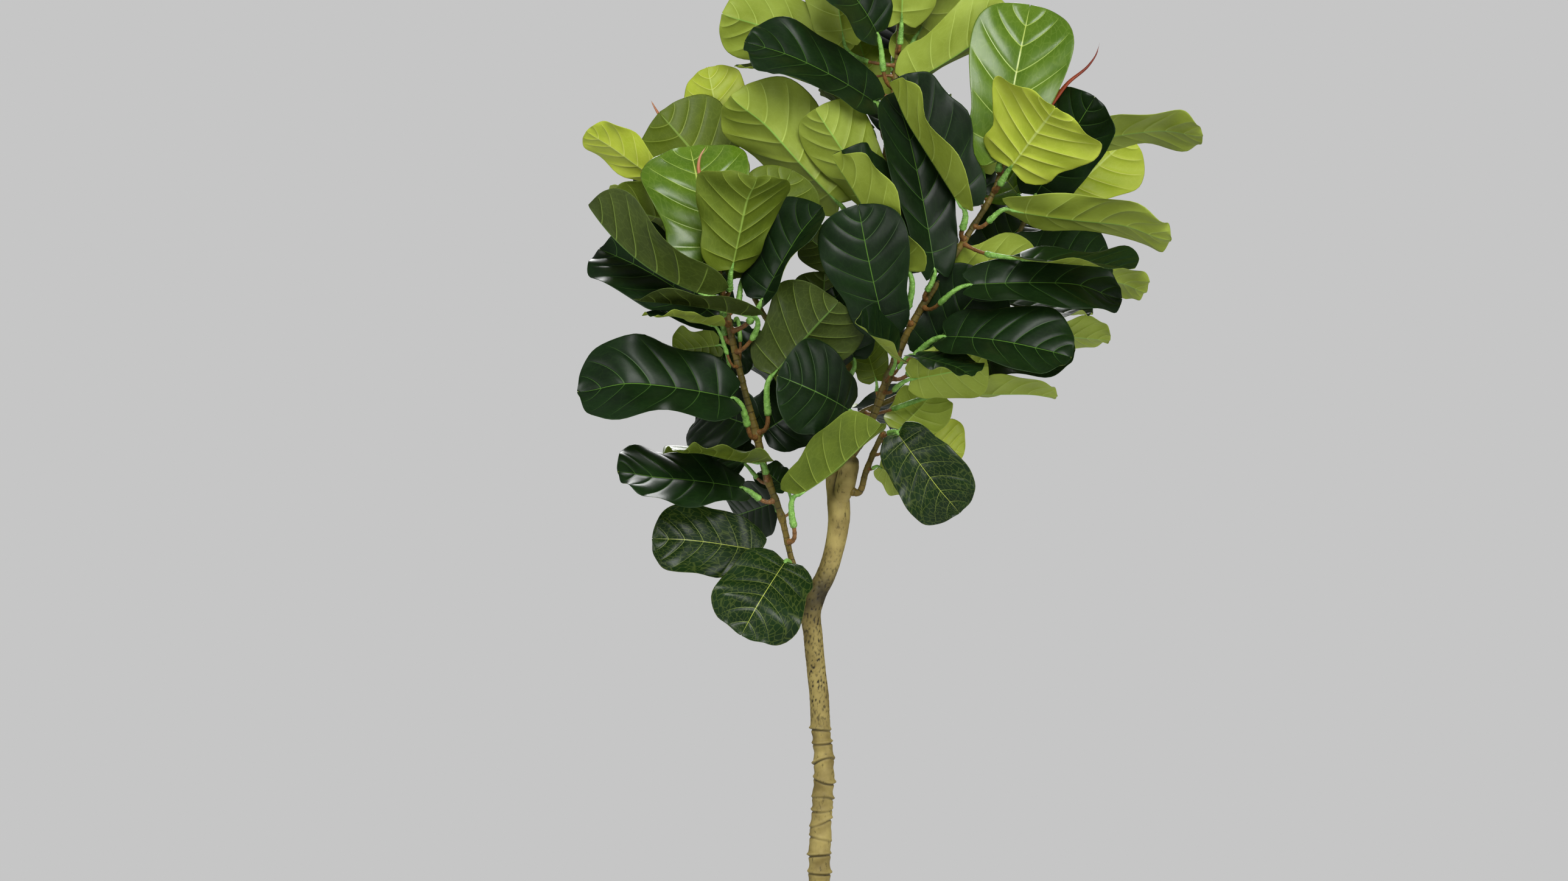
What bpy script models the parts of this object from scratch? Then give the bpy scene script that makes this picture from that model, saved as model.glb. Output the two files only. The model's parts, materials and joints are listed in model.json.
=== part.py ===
"""A potted fiddle leaf fig, 1.8 m tall: a plain pot, its soil, the trunk, six stems, three
bud sheaths and the plant's bigger leaves. Each leaf is one solid, its stalk and blade together.
Metres, +Z up, origin at the middle of the pot's foot, the plant's front towards -Y."""

import math

import bmesh
import bpy
from mathutils import Vector
from mathutils.bvhtree import BVHTree

CM = 0.01
GAP = 0.0005                 # between a stalk or stem and the wood it grows from
TRUNK_SIDES, STEM_SIDES = 16, 8
LATHE_STEPS = 40

# The pot, in metres.
POT_HEIGHT = 0.24
POT_TOP_RADIUS, POT_FOOT_RADIUS = 0.137, 0.100
POT_WALL = 0.004
POT_FLOOR = 0.008
RIM_DEPTH, RIM_OVERHANG = 0.018, 0.006
DRAIN_RADIUS, DRAIN_CIRCLE, DRAIN_COUNT = 0.005, 0.070, 4

# The soil, in metres.
SOIL_EDGE, SOIL_MOUND = 0.200, 0.006
SOIL_GAP = 0.0003
TRUNK_FOOT_RADIUS, TRUNK_FOOT = 0.019, 0.105

# Wood routes in centimetres: x, y, height, radius.
TRUNK = (
    (0.0, 0.0, 10.5, 1.9), (0.0, 0.0, 20.2, 1.9), (0.0, 0.0, 21.5, 1.85), (0.1, 0.0, 27, 1.72),
    (0.1, 0.0, 34, 1.66), (0.2, 0.0, 40, 1.6), (0.6, 0.1, 46, 1.55), (0.7, 0.2, 52, 1.5),
    (0.3, 0.2, 55.5, 1.42), (0.1, 0.1, 60, 1.38), (-0.4, 0.0, 64.5, 1.36), (-0.8, -0.1, 69, 1.38),
    (-1.1, -0.1, 72.4, 1.45), (-0.5, 0.0, 74.8, 1.5), (0.9, 0.2, 77.4, 1.4), (1.9, 0.3, 80.2, 1.38),
    (2.6, 0.2, 83.3, 1.45), (2.9, 0.2, 86, 1.58), (2.8, 0.5, 88.5, 1.6), (2.3, 0.9, 91, 1.3),
    (2.1, 1.2, 93.5, 1.2), (2.2, 1.6, 96, 1.15),
)
RING_FROM, RING_TO, RING_SPACING, RING_STEP = 24.0, 57.0, 2.55, 0.07
TRUNK_STUB = (
    (2.9, 0.0, 87, 1.2), (3.5, -0.4, 89.5, 1.4), (4.1, -0.8, 92, 1.42), (4.4, -0.9, 93.6, 1.36),
    (4.5, -0.95, 94.3, 1.15), (4.5, -1.0, 94.6, 0.8),
)
STEMS = {
    "leader": (
        (2.2, 1.65, 96.2, 1.12), (2.8, 2.2, 100, 1.0), (3.5, 2.6, 104.2, 0.95),
        (4.2, 2.6, 107.4, 0.85), (5.6, 2.2, 114, 0.75), (7.4, 1.5, 120.7, 0.62),
        (8.4, 1.0, 127, 0.54), (8.9, 0.6, 132.9, 0.48), (10.2, 0.5, 142.5, 0.46),
        (11.3, 0.5, 152.1, 0.4), (11.7, 0.5, 160, 0.36), (11.5, 0.6, 166.5, 0.28),
    ),
    "left": (
        (-1.1, -0.4, 73.2, 0.62), (-3.0, -1.2, 76.8, 0.5), (-3.9, -1.8, 80, 0.45),
        (-5.3, -2.8, 86, 0.5), (-7.5, -3.8, 92.1, 0.55), (-9.0, -4.5, 98.3, 0.55),
        (-10.8, -5.2, 105, 0.5), (-12.4, -5.8, 111.7, 0.48), (-13.2, -6.2, 116, 0.45),
        (-14.0, -7.0, 120, 0.4), (-14.4, -9.2, 124, 0.35), (-14.9, -11.0, 128, 0.28),
        (-15.3, -11.6, 130.2, 0.24),
    ),
    "right": (
        (4.9, -1.0, 95.0, 0.62), (6.4, -1.3, 97.4, 0.6), (7.6, -1.8, 100, 0.58),
        (8.9, -2.3, 103.4, 0.6), (10.4, -2.8, 107.2, 0.6), (13.6, -3.6, 114.1, 0.55),
        (16.6, -4.2, 119, 0.5), (21.5, -4.8, 126.7, 0.45), (24.9, -5.0, 132.4, 0.4),
        (26.2, -5.0, 136, 0.34), (28.4, -4.8, 139.2, 0.3), (30.9, -4.5, 142, 0.24),
    ),
    "low": (
        (4.1, -0.9, 90.0, 0.5), (6.7, -1.9, 92.4, 0.46), (7.8, -2.4, 95.2, 0.42),
        (9.3, -2.9, 98.3, 0.36),
    ),
    "left_back": (
        (3.6, 2.6, 105.0, 0.5), (0.4, 3.9, 106.6, 0.46), (-3.0, 4.5, 109.6, 0.44),
        (-6.2, 5.0, 112.7, 0.42), (-11, 5.8, 121, 0.4), (-14, 6.2, 127, 0.36),
        (-17, 7.0, 133.5, 0.3), (-18.6, 8.8, 137.4, 0.26), (-20.4, 10.6, 140.6, 0.22),
    ),
    "right_back": (
        (2.7, 2.1, 99.0, 0.5), (5.4, 4.4, 100.3, 0.47), (12, 6.0, 103.6, 0.46),
        (19, 7.5, 110.2, 0.44), (25, 8.0, 119, 0.4), (29, 7.5, 127, 0.36),
        (32, 6.5, 134, 0.3), (33, 6.0, 137.5, 0.24),
    ),
}
# What each stem grows from, and the height in centimetres where it leaves it.
STEM_FROM = {
    "left": ("trunk", 73.2, (-1.0, -0.35, 0.25)),
    "low": ("stub", 90.0, (1.0, -0.4, 0.3)),
    "left_back": ("leader", 105.0, (-0.9, 0.6, 0.2)),
    "right_back": ("leader", 99.0, (0.75, 0.65, 0.1)),
}
BUDS = {
    "bud_left": ((-15.35, -11.7, 130.5, 0.2), (-16.3, -12.0, 133, 0.3), (-17.0, -12.0, 135.4, 0.24),
                 (-16.8, -11.9, 136.8, 0.16), (-15.9, -11.7, 138.4, 0.07)),
    "bud_right": ((31.15, -4.5, 142.3, 0.2), (33.0, -4.7, 144.6, 0.32), (35.3, -4.8, 147.6, 0.26),
                  (38.4, -4.9, 150.3, 0.16), (39.3, -4.9, 151.6, 0.1), (39.9, -4.9, 153.4, 0.05)),
    "bud_top": ((11.48, 0.6, 166.9, 0.24), (11.3, 0.6, 169, 0.34), (11.4, 0.5, 172, 0.26),
                (11.9, 0.4, 175, 0.14), (12.4, 0.4, 177, 0.06)),
}

# The leaves, in centimetres and degrees: stem, height on it, blade's base, tip, turn of the
# upper face (0 to the front, 90 up, 180 to the back), fold at the midrib, arch as a share of
# the length, full width, age.
LEAVES = (
    ("left", 79.5, (-8.2, -5.0, 81.2), (-23.2, -9.0, 83.3), 20, 6, 0.05, 10.8, "old"),
    ("left", 77.5, (-4.8, -6.0, 79.7), (-10.6, -13.5, 70.6), 8, 5, 0.06, 13.3, "old"),
    ("left", 82.5, (-3.2, -6.0, 89.2), (8.4, -12.0, 99.3), 122, 30, -0.06, 13.0, "old"),
    ("right", 96.5, (4.3, -6.0, 101.2), (-5.8, -15.0, 106.0), 15, 10, 0.08, 14.0, "old"),
    ("left", 98.0, (-6.7, -7.5, 106.1), (2.6, -11.0, 116.6), 165, 15, 0.0, 15.0, "old"),
    ("left", 97.5, (-12.2, -8.0, 102.9), (-33.2, -13.0, 105.3), 40, 16, 0.04, 15.0, "old"),
    ("left", 91.5, (-8.4, -6.0, 93.9), (-19.8, -15.0, 96.4), 98, 9, -0.03, 12.5, "old"),
    ("left", 88.5, (-11.0, -5.5, 90.2), (-28.4, -11.0, 91.8), 52, 6, 0.03, 12.5, "old"),
    ("right", 113.5, (12.6, -9.0, 120.8), (2.2, -11.0, 137.1), 80, 49, -0.02, 14.0, "old"),
    ("right", 109.0, (9.3, -7.5, 112.8), (5.5, -8.5, 129.9), 0, 12, 0.06, 13.5, "old"),
    ("right", 125.5, (20.4, -8.5, 129.8), (9.3, -9.5, 146.8), 57, 57, 0.0, 15.0, "old"),
    ("right", 117.0, (16.4, -6.5, 121.0), (11.2, -5.0, 146.2), 18, 15, 0.03, 11.5, "old"),
    ("right", 118.5, (17.4, -8.5, 121.6), (30.8, -12.0, 120.2), 132, 32, -0.04, 12.5, "old"),
    ("right", 108.5, (17.7, -8.5, 111.6), (35.2, -14.0, 108.4), 44, 14, 0.06, 13.0, "old"),
    ("right", 116.0, (21.3, -9.5, 118.9), (42.7, -9.0, 118.6), 40, 13, 0.03, 11.0, "old"),
    ("low", 97.8, (11.2, -6.5, 97.9), (19.5, -8.5, 86.8), 350, 8, 0.04, 10.8, "old"),
    ("left", 116.5, (-15.4, -7.5, 122.6), (-18.3, -3.0, 139.3), 5, 10, 0.04, 15.5, "mid"),
    ("left", 117.5, (-12.4, -10.5, 120.9), (-9.3, -17.0, 134.6), 163, 30, 0.0, 16.0, "young"),
    ("left", 113.5, (-15.0, -9.5, 117.3), (-32.4, -10.0, 129.9), 100, 35, -0.10, 13.5, "old"),
    ("left", 111.0, (-14.2, -8.0, 114.2), (-31.2, -5.0, 124.4), 36, 10, 0.05, 14.0, "old"),
    ("left", 112.5, (-8.0, -9.0, 116.8), (0.0, -11.0, 130.0), 42, 24, 0.03, 14.0, "old"),
    ("left", 109.5, (-9.5, -8.5, 114.5), (-25.0, -13.0, 116.4), 97, 12, 0.02, 12.0, "old"),
    ("right", 135.0, (25.6, -7.5, 136.5), (30.0, -3.5, 158.9), 5, 12, 0.03, 15.0, "mid"),
    ("right", 132.5, (27.0, -9.0, 135.4), (33.4, -19.0, 144.0), 180, 5, 0.0, 18.0, "young"),
    ("right", 127.5, (27.0, -7.5, 129.7), (49.7, -9.0, 127.4), 117, 10, -0.03, 11.5, "old"),
    ("right_back", 135.0, (36.3, 0.0, 139.4), (54.4, -2.0, 141.5), 116, 3, 0.03, 11.0, "old"),
    ("right_back", 129.0, (35.0, 7.0, 131.5), (45.0, 9.0, 140.8), 170, 8, 0.03, 12.5, "young"),
    ("right_back", 118.0, (27.5, 0.0, 122.8), (42.0, -2.0, 123.2), 40, 10, 0.05, 13.0, "old"),
    ("right", 104.0, (13.0, -7.0, 105.6), (23.8, -6.5, 107.6), 160, 12, 0.0, 10.0, "old"),
    ("leader", 123.0, (3.0, -1.0, 130.7), (-11.3, -2.0, 146.8), 153, 26, -0.04, 15.0, "old"),
    ("leader", 126.5, (8.2, -3.0, 131.2), (-0.4, -5.5, 143.8), 153, 26, -0.03, 11.5, "old"),
    ("leader", 140.0, (8.0, -3.5, 145.0), (-10.1, -7.0, 153.6), 48, 12, 0.05, 12.5, "old"),
    ("leader", 146.0, (3.6, 3.0, 152.0), (-13.3, 4.0, 158.6), 160, 15, -0.03, 12.0, "old"),
    ("leader", 143.5, (12.8, 0.5, 148.2), (27.4, -1.0, 157.8), 135, 38, -0.05, 12.0, "old"),
    ("leader", 147.5, (8.3, -3.5, 154.8), (-0.4, -9.0, 165.0), 40, 15, 0.08, 12.0, "old"),
    ("leader", 152.5, (11.8, -2.5, 156.5), (12.2, -8.0, 173.0), 180, 10, -0.05, 12.0, "old"),
    ("leader", 162.0, (9.5, -1.0, 167.0), (1.0, -4.0, 178.0), 140, 20, 0.0, 11.0, "mid"),
    ("leader", 163.5, (13.5, 2.0, 167.5), (22.0, 6.0, 178.5), 150, 15, 0.0, 11.0, "mid"),
    ("leader", 157.0, (8.5, 4.5, 160.5), (-3.0, 15.0, 168.0), 20, 12, 0.05, 12.0, "old"),
    ("leader", 112.0, (5.0, 6.5, 116.0), (0.0, 21.0, 124.0), 0, 12, 0.06, 13.0, "old"),
    ("leader", 130.0, (7.0, 5.5, 134.0), (-3.0, 19.0, 141.0), 5, 12, 0.06, 13.0, "old"),
    ("leader", 137.0, (11.5, 5.0, 141.0), (13.5, 19.5, 148.0), 10, 12, 0.05, 13.0, "old"),
    ("leader", 148.5, (11.0, 5.0, 153.0), (12.5, 20.0, 161.0), 0, 14, 0.05, 12.5, "old"),
    ("left_back", 119.0, (-10.5, 10.0, 122.0), (-15.0, 24.0, 127.0), 0, 12, 0.06, 13.0, "old"),
    ("left_back", 112.5, (-7.0, 9.5, 112.0), (-10.0, 23.0, 107.0), 350, 10, 0.07, 13.0, "old"),
    ("right_back", 109.0, (18.5, 12.0, 111.0), (16.0, 26.0, 116.0), 0, 12, 0.06, 13.0, "old"),
    ("right_back", 121.0, (27.5, 12.0, 122.0), (37.0, 23.0, 125.0), 10, 10, 0.06, 13.0, "old"),
    ("right_back", 129.5, (29.0, 11.5, 132.5), (24.0, 24.0, 140.0), 0, 14, 0.05, 12.5, "mid"),
)
# Outline of a blade: share of the midrib where a side vein starts, how far along it ends at
# the margin, and the half width there.
OUTLINE = (
    (0.00, 0.00, 0.00), (0.03, -0.05, 0.30), (0.08, 0.02, 0.54), (0.16, 0.14, 0.66),
    (0.26, 0.28, 0.68), (0.38, 0.45, 0.84), (0.50, 0.61, 0.97), (0.62, 0.76, 1.00),
    (0.74, 0.885, 0.89), (0.85, 0.96, 0.66), (0.94, 1.00, 0.35), (1.00, 1.015, 0.015),
)
VEIN_SWEEP = 1.3
BLADE_ROWS = (0.03, 0.10, 0.26, 0.42, 0.60, 0.76, 0.90, 1.0)
BLADE_THICK, MIDRIB_THICK = 0.0018, 0.0030
STALK_RADII = (0.0028, 0.0034, 0.0040)
STALK_ROWS = (0.0, 0.4, 0.8)
MARGIN_WAVE = 0.006
CLEARANCE = 0.0026
SHIFTS = (0, -1.5, 1.5, -3, 3, -4.5, 4.5, -6.5, 6.5, -9, 9, -12, 12)
TURNS = (0, -12, 12, -25, 25)
HEIGHTS = (0, 1.5, -1.5, 3)

FINISHES = {
    "bark": ((0.42, 0.35, 0.19), 0.75),
    "stem_bark": ((0.22, 0.15, 0.05), 0.65),
    "bud_sheath": ((0.32, 0.07, 0.03), 0.45),
    "leaf_old": ((0.012, 0.035, 0.010), 0.3),
    "leaf_mid": ((0.10, 0.22, 0.02), 0.25),
    "leaf_young": ((0.38, 0.48, 0.04), 0.4),
    "pot_plastic": ((0.03, 0.03, 0.032), 0.5),
    "soil": ((0.035, 0.02, 0.012), 0.95),
}


def clear_scene():
    for found in list(bpy.data.objects):
        bpy.data.objects.remove(found, do_unlink=True)


def finish_material(name):
    material = bpy.data.materials.get(name)
    if material is None:
        colour, roughness = FINISHES[name]
        material = bpy.data.materials.new(name)
        material.use_nodes = True
        shader = material.node_tree.nodes["Principled BSDF"]
        shader.inputs["Base Color"].default_value = (*colour, 1.0)
        shader.inputs["Roughness"].default_value = roughness
    return material


def add_object(name, data, collection, finish=None):
    made = bpy.data.objects.new(name, data)
    collection.objects.link(made)
    if finish:
        data.materials.append(finish_material(finish))
    return made


def smooth(mesh):
    mesh.shade_smooth()
    mesh.set_sharp_from_angle(angle=math.radians(35))


def metres(row):
    return Vector(row[:3]) * CM


# ---- Pot and soil: turned shapes ----

def turned(name, profile, collection, finish):
    """A profile of (radius, height) in metres, turned about the Z axis."""
    mesh = bpy.data.meshes.new(name)
    points = [(radius, 0.0, height) for radius, height in profile]
    mesh.from_pydata(points, [(i, i + 1) for i in range(len(points) - 1)], [])
    made = add_object(name, mesh, collection, finish)
    screw = made.modifiers.new("turn", "SCREW")
    screw.steps = screw.render_steps = LATHE_STEPS
    screw.use_merge_vertices = True
    screw.merge_threshold = 0.00005
    screw.use_smooth_shade = True
    return made


def inner_radius(height):
    """The pot's inner wall at a height, in metres."""
    share = height / POT_HEIGHT
    return POT_FOOT_RADIUS + (POT_TOP_RADIUS - POT_FOOT_RADIUS) * share - POT_WALL


def build_pot(parts, cutters):
    rim_radius = POT_TOP_RADIUS + RIM_OVERHANG
    lip = RIM_OVERHANG * 0.5
    profile = [
        (0.0, POT_FLOOR),
        (inner_radius(POT_FLOOR), POT_FLOOR),
        (inner_radius(POT_HEIGHT) - 0.0005, POT_HEIGHT - lip),
        (inner_radius(POT_HEIGHT) + 0.001, POT_HEIGHT - lip * 0.3),
        (POT_TOP_RADIUS, POT_HEIGHT),
        (rim_radius - 0.001, POT_HEIGHT - lip * 0.3),
        (rim_radius, POT_HEIGHT - lip),
        (rim_radius - 0.001, POT_HEIGHT - RIM_DEPTH),
        (POT_TOP_RADIUS - 0.002, POT_HEIGHT - RIM_DEPTH - 0.001),
        (POT_FOOT_RADIUS, 0.004),
        (POT_FOOT_RADIUS - 0.004, 0.0),
        (0.0, 0.0),
    ]
    pot = turned("pot", profile, parts, "pot_plastic")
    for number in range(DRAIN_COUNT):
        angle = math.tau * (number + 0.5) / DRAIN_COUNT
        mesh = bpy.data.meshes.new("drain_cutter")
        form = bmesh.new()
        bmesh.ops.create_cone(form, cap_ends=True, segments=16, radius1=DRAIN_RADIUS,
                              radius2=DRAIN_RADIUS, depth=POT_FLOOR * 3)
        form.to_mesh(mesh)
        form.free()
        cutter = add_object(f"drain_cutter_{number + 1}", mesh, cutters)
        cutter.location = (DRAIN_CIRCLE * math.cos(angle), DRAIN_CIRCLE * math.sin(angle), 0.0)
        cutter.hide_render = True
        cutter.display_type = "WIRE"
        cut = pot.modifiers.new(f"drain {number + 1}", "BOOLEAN")
        cut.operation = "DIFFERENCE"
        cut.object = cutter


def build_soil(parts):
    pocket = TRUNK_FOOT_RADIUS + SOIL_GAP
    floor = POT_FLOOR + SOIL_GAP
    profile = [
        (0.0, TRUNK_FOOT - SOIL_GAP),
        (pocket, TRUNK_FOOT - SOIL_GAP),
        (pocket, SOIL_EDGE + SOIL_MOUND - 0.002),
        (pocket + 0.004, SOIL_EDGE + SOIL_MOUND),
        (0.07, SOIL_EDGE + SOIL_MOUND * 0.6),
        (inner_radius(SOIL_EDGE) - SOIL_GAP * 2, SOIL_EDGE),
        (inner_radius(floor) - SOIL_GAP * 2, floor),
        (0.0, floor),
    ]
    turned("soil", profile, parts, "soil")


# ---- Wood: tubes that taper along a route ----

def tube(name, route, collection, sides, finish):
    """A curve of straight runs through (x, y, height, radius) in centimetres, with caps."""
    curve = bpy.data.curves.new(name, "CURVE")
    curve.dimensions = "3D"
    curve.bevel_depth = CM
    curve.bevel_resolution = (sides - 4) // 2
    curve.use_fill_caps = True
    spline = curve.splines.new("POLY")
    spline.points.add(len(route) - 1)
    for point, row in zip(spline.points, route):
        point.co = (*metres(row), 1.0)
        point.radius = row[3]
    return add_object(name, curve, collection, finish)


def as_mesh(made, collection, finish):
    """The tube as a mesh object with welded caps, so that it can be joined."""
    name = made.name
    graph = bpy.context.evaluated_depsgraph_get()
    mesh = bpy.data.meshes.new_from_object(made.evaluated_get(graph))
    form = bmesh.new()
    form.from_mesh(mesh)
    bmesh.ops.remove_doubles(form, verts=form.verts, dist=0.00001)
    bmesh.ops.recalc_face_normals(form, faces=form.faces)
    form.to_mesh(mesh)
    form.free()
    placed = made.matrix_world.copy()
    bpy.data.objects.remove(made, do_unlink=True)
    mesh.materials.clear()
    solid = add_object(name, mesh, collection, finish)
    solid.matrix_world = placed
    smooth(mesh)
    return solid


def on_route(route, height):
    """Point and radius where a route passes a height, in centimetres."""
    for low, high in zip(route, route[1:]):
        if low[2] <= height <= high[2]:
            share = (height - low[2]) / (high[2] - low[2])
            return [a + (b - a) * share for a, b in zip(low, high)]
    return list(route[-1] if height > route[-1][2] else route[0])


def side_direction(route, height, towards):
    """The unit vector at right angles to a route that points nearest to a direction."""
    below = Vector(on_route(route, height - 0.5)[:3])
    above = Vector(on_route(route, height + 0.5)[:3])
    along = (above - below).normalized()
    return (towards - along * towards.dot(along)).normalized()


def ringed(route):
    """The trunk's route with a small ledge at each old leaf scar, all the way round."""
    rows = [row for row in route if not RING_FROM < row[2] < RING_TO]
    height, number = RING_FROM, 0
    while height < RING_TO:
        x, y, _, radius = on_route(route, height)
        rows.append((x, y, height - 0.12, radius + RING_STEP))
        rows.append((x, y, height + 0.12, radius - RING_STEP * 0.4))
        height += RING_SPACING * (1.0 + 0.12 * math.sin(number * 2.1))
        number += 1
    return sorted(rows, key=lambda row: row[2])


def build_trunk(parts, cutters):
    trunk = as_mesh(tube("trunk", ringed(TRUNK), parts, TRUNK_SIDES, None), parts, "bark")
    stub = as_mesh(tube("trunk_stub", TRUNK_STUB, cutters, TRUNK_SIDES, None), cutters, None)
    stub.hide_render = True
    stub.display_type = "WIRE"
    join = trunk.modifiers.new("stub", "BOOLEAN")
    join.operation = "UNION"
    join.object = stub


def stem_routes():
    """Each stem's route, starting just off the surface of the wood that it grows from."""
    routes = {"trunk": TRUNK, "stub": TRUNK_STUB, "leader": STEMS["leader"]}
    for name, route in STEMS.items():
        if name in STEM_FROM:
            parent, height, towards = STEM_FROM[name]
            outward = side_direction(routes[parent], height, Vector(towards))
            x, y, z, radius = on_route(routes[parent], height)
            start = Vector((x, y, z)) + outward * (radius + GAP / CM)
            run = start + outward * 0.5
            first = route[0][3]
            route = ((*start, first), (*run, first)) + route[1:]
        routes[name] = route
    return routes


# ---- Leaves: a round stalk lofted into a thin blade ----

def outline_at(t):
    """End along the midrib and half width of the side vein that starts at t, both as shares."""
    for low, high in zip(OUTLINE, OUTLINE[1:]):
        if t <= high[0]:
            share = (t - low[0]) / (high[0] - low[0])
            return low[1] + (high[1] - low[1]) * share, low[2] + (high[2] - low[2]) * share
    return OUTLINE[-1][1:]


class Blade:
    """One leaf's measurements in metres: its own directions and its points."""

    def __init__(self, row, routes, number):
        stem, height, base, tip, turn, fold, arch, width, _ = row
        self.base, self.tip = metres(base), metres(tip)
        self.length = (self.tip - self.base).length
        self.half = width * CM / 2
        self.arch, self.fold = arch, math.radians(fold)
        self.along = (self.tip - self.base).normalized()
        front = Vector((0.0, -1.0, 0.0))
        front = (front - self.along * front.dot(self.along)).normalized()
        up = front.cross(self.along)
        if self.along.x < 0:
            up.negate()
        turn = math.radians(turn)
        self.top = front * math.cos(turn) + up * math.sin(turn)
        self.across = front * math.sin(turn) - up * math.cos(turn)
        self.wave = number * 1.7
        route = routes[stem]
        x, y, z, radius = on_route(route, height)
        centre = Vector((x, y, z)) * CM
        self.outward = side_direction(route, height, self.base - centre)
        self.start = centre + self.outward * (radius * CM + GAP)

    def point(self, t, side):
        """A point of the blade's middle surface: side runs from -1 to 1 across it."""
        end, half = outline_at(t)
        reach = abs(side)
        along = t + (end - t) * reach ** VEIN_SWEEP
        out = half * self.half * reach
        bow = self.arch * self.length * 4.0 * along * (1.0 - along)
        wave = MARGIN_WAVE * half * reach ** 2 * math.sin(9.0 * along + self.wave + side)
        lift = out * math.sin(self.fold) + bow + wave
        aside = out * math.cos(self.fold) * (1.0 if side > 0 else -1.0)
        return self.base + self.along * (along * self.length) + self.top * lift + self.across * aside

    def stalk_point(self, share):
        """A point on the stalk's middle line, and its direction there."""
        reach = (self.base - self.start).length
        slope = (self.point(0.1, 0.0) - self.point(0.0, 0.0)).normalized()
        p0, p3 = self.start, self.base
        p1, p2 = p0 + self.outward * reach * 0.35, p3 - slope * reach * 0.35
        u = 1.0 - share
        place = p0 * u ** 3 + p1 * 3 * u * u * share + p2 * 3 * u * share ** 2 + p3 * share ** 3
        heading = (p1 - p0) * u * u + (p2 - p1) * 2 * u * share + (p3 - p2) * share ** 2
        return place, heading.normalized()

    def rings(self, swell=0.0):
        """Eight points for each cross-section, from the stem to the tip."""
        hand = 1.0 if self.along.cross(self.across).dot(self.top) > 0 else -1.0
        made, side = [], self.across
        for share, stalk_radius in reversed(tuple(zip(STALK_ROWS, STALK_RADII))):
            place, heading = self.stalk_point(share)
            side = (side - heading * side.dot(heading)).normalized()
            over = heading.cross(side) * hand
            radius = stalk_radius + swell
            ring = []
            for step in range(8):
                angle = math.pi - step * math.pi / 4
                ring.append(place + side * math.cos(angle) * radius + over * math.sin(angle) * radius)
            made.insert(0, ring)
        for t in BLADE_ROWS:
            half = BLADE_THICK / 2 + swell
            rib = half + MIDRIB_THICK * (1.0 - 0.8 * t) * (swell == 0.0)
            edge = 0.3 * half
            ring = [self.point(t, -1.0) + self.top * edge]
            ring += [self.point(t, side) + self.top * (half * 1.4 if side == 0 else half)
                     for side in (-0.5, 0.0, 0.5)]
            ring.append(self.point(t, 1.0) + self.top * edge)
            ring += [self.point(t, side) - self.top * (rib if side == 0 else half)
                     for side in (0.5, 0.0, -0.5)]
            made.append(ring)
        return made


def loft(rings):
    """Points and faces of a closed solid through rings of equal count. A ring's second half is
    the far side of its first, so its diagonals are turned to run the same way in space, and the
    two sides of a thin blade never cross."""
    points = [point for ring in rings for point in ring]
    count = len(rings[0])
    faces = []
    for row in range(len(rings) - 1):
        for step in range(count):
            a, b = row * count + step, row * count + (step + 1) % count
            if step < count // 2:
                faces += [(a, b, b + count), (a, b + count, a + count)]
            else:
                faces += [(a, b, a + count), (b, b + count, a + count)]
    faces.append(tuple(range(count - 1, -1, -1)))
    last = (len(rings) - 1) * count
    faces.append(tuple(range(last, last + count)))
    return points, faces


def tree_of(points, faces):
    return BVHTree.FromPolygons([tuple(point) for point in points], faces)


def box_of(points):
    return [(min(p[axis] for p in points), max(p[axis] for p in points)) for axis in range(3)]


def apart(one, other):
    return any(one[axis][0] > other[axis][1] or other[axis][0] > one[axis][1] for axis in range(3))


def wood_solid(route, swell=0.0):
    """A rough eight-sided tube along a route, for keeping leaves clear of it."""
    rings = []
    for number, row in enumerate(route):
        before = Vector(route[max(number - 1, 0)][:3])
        after = Vector(route[min(number + 1, len(route) - 1)][:3])
        heading = (after - before).normalized()
        side = heading.cross(Vector((0.0, 1.0, 0.0))).normalized()
        over = side.cross(heading)
        radius = row[3] * CM + swell
        rings.append([metres(row) + (side * math.cos(a) + over * math.sin(a)) * radius
                      for a in (math.tau * step / 8 for step in range(8))])
    return loft(rings)


def settings():
    """Small changes to a leaf's place, the smallest first."""
    tries = []
    for shift in SHIFTS:
        for turn in TURNS:
            for height in HEIGHTS:
                tries.append((abs(shift) + abs(turn) * 0.12 + abs(height) * 0.8, shift, turn, height))
    return sorted(tries, key=lambda row: (row[0], row[1], row[2], row[3]))


def changed(row, shift, turn, height):
    stem, at, base, tip, angle, fold, arch, width, age = row
    base = (base[0], base[1] + shift * 0.45, base[2])
    tip = (tip[0], tip[1] + shift, tip[2])
    return (stem, at + height, base, tip, angle + turn, fold, arch, width, age)


def place_leaves(rows, routes):
    """Each leaf takes the smallest change that keeps it clear of the wood and of the others."""
    standing = []
    for name, route in routes.items():
        points, faces = wood_solid(route, CLEARANCE)
        standing.append((name, box_of(points), tree_of(points, faces)))
    tight = {name: tree_of(*wood_solid(route, GAP * 0.2)) for name, route in routes.items()}
    placed = []
    for number, row in enumerate(rows):
        best = None
        for cost, shift, turn, height in settings():
            leaf = Blade(changed(row, shift, turn, height), routes, number)
            points, faces = loft(leaf.rings(CLEARANCE))
            tree, box = tree_of(points, faces), box_of(points)
            own = tree_of(*loft(leaf.rings())).overlap(tight[row[0]])
            hits = len(own) + sum(len(tree.overlap(other)) for name, bounds, other in standing
                                  if name != row[0] and not apart(box, bounds))
            if best is None or hits < best[0]:
                best = (hits, leaf, box, tree)
            if not hits:
                break
        placed.append(best[1])
        standing.append((f"leaf_{number + 1:02d}", best[2], best[3]))
    return placed


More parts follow.
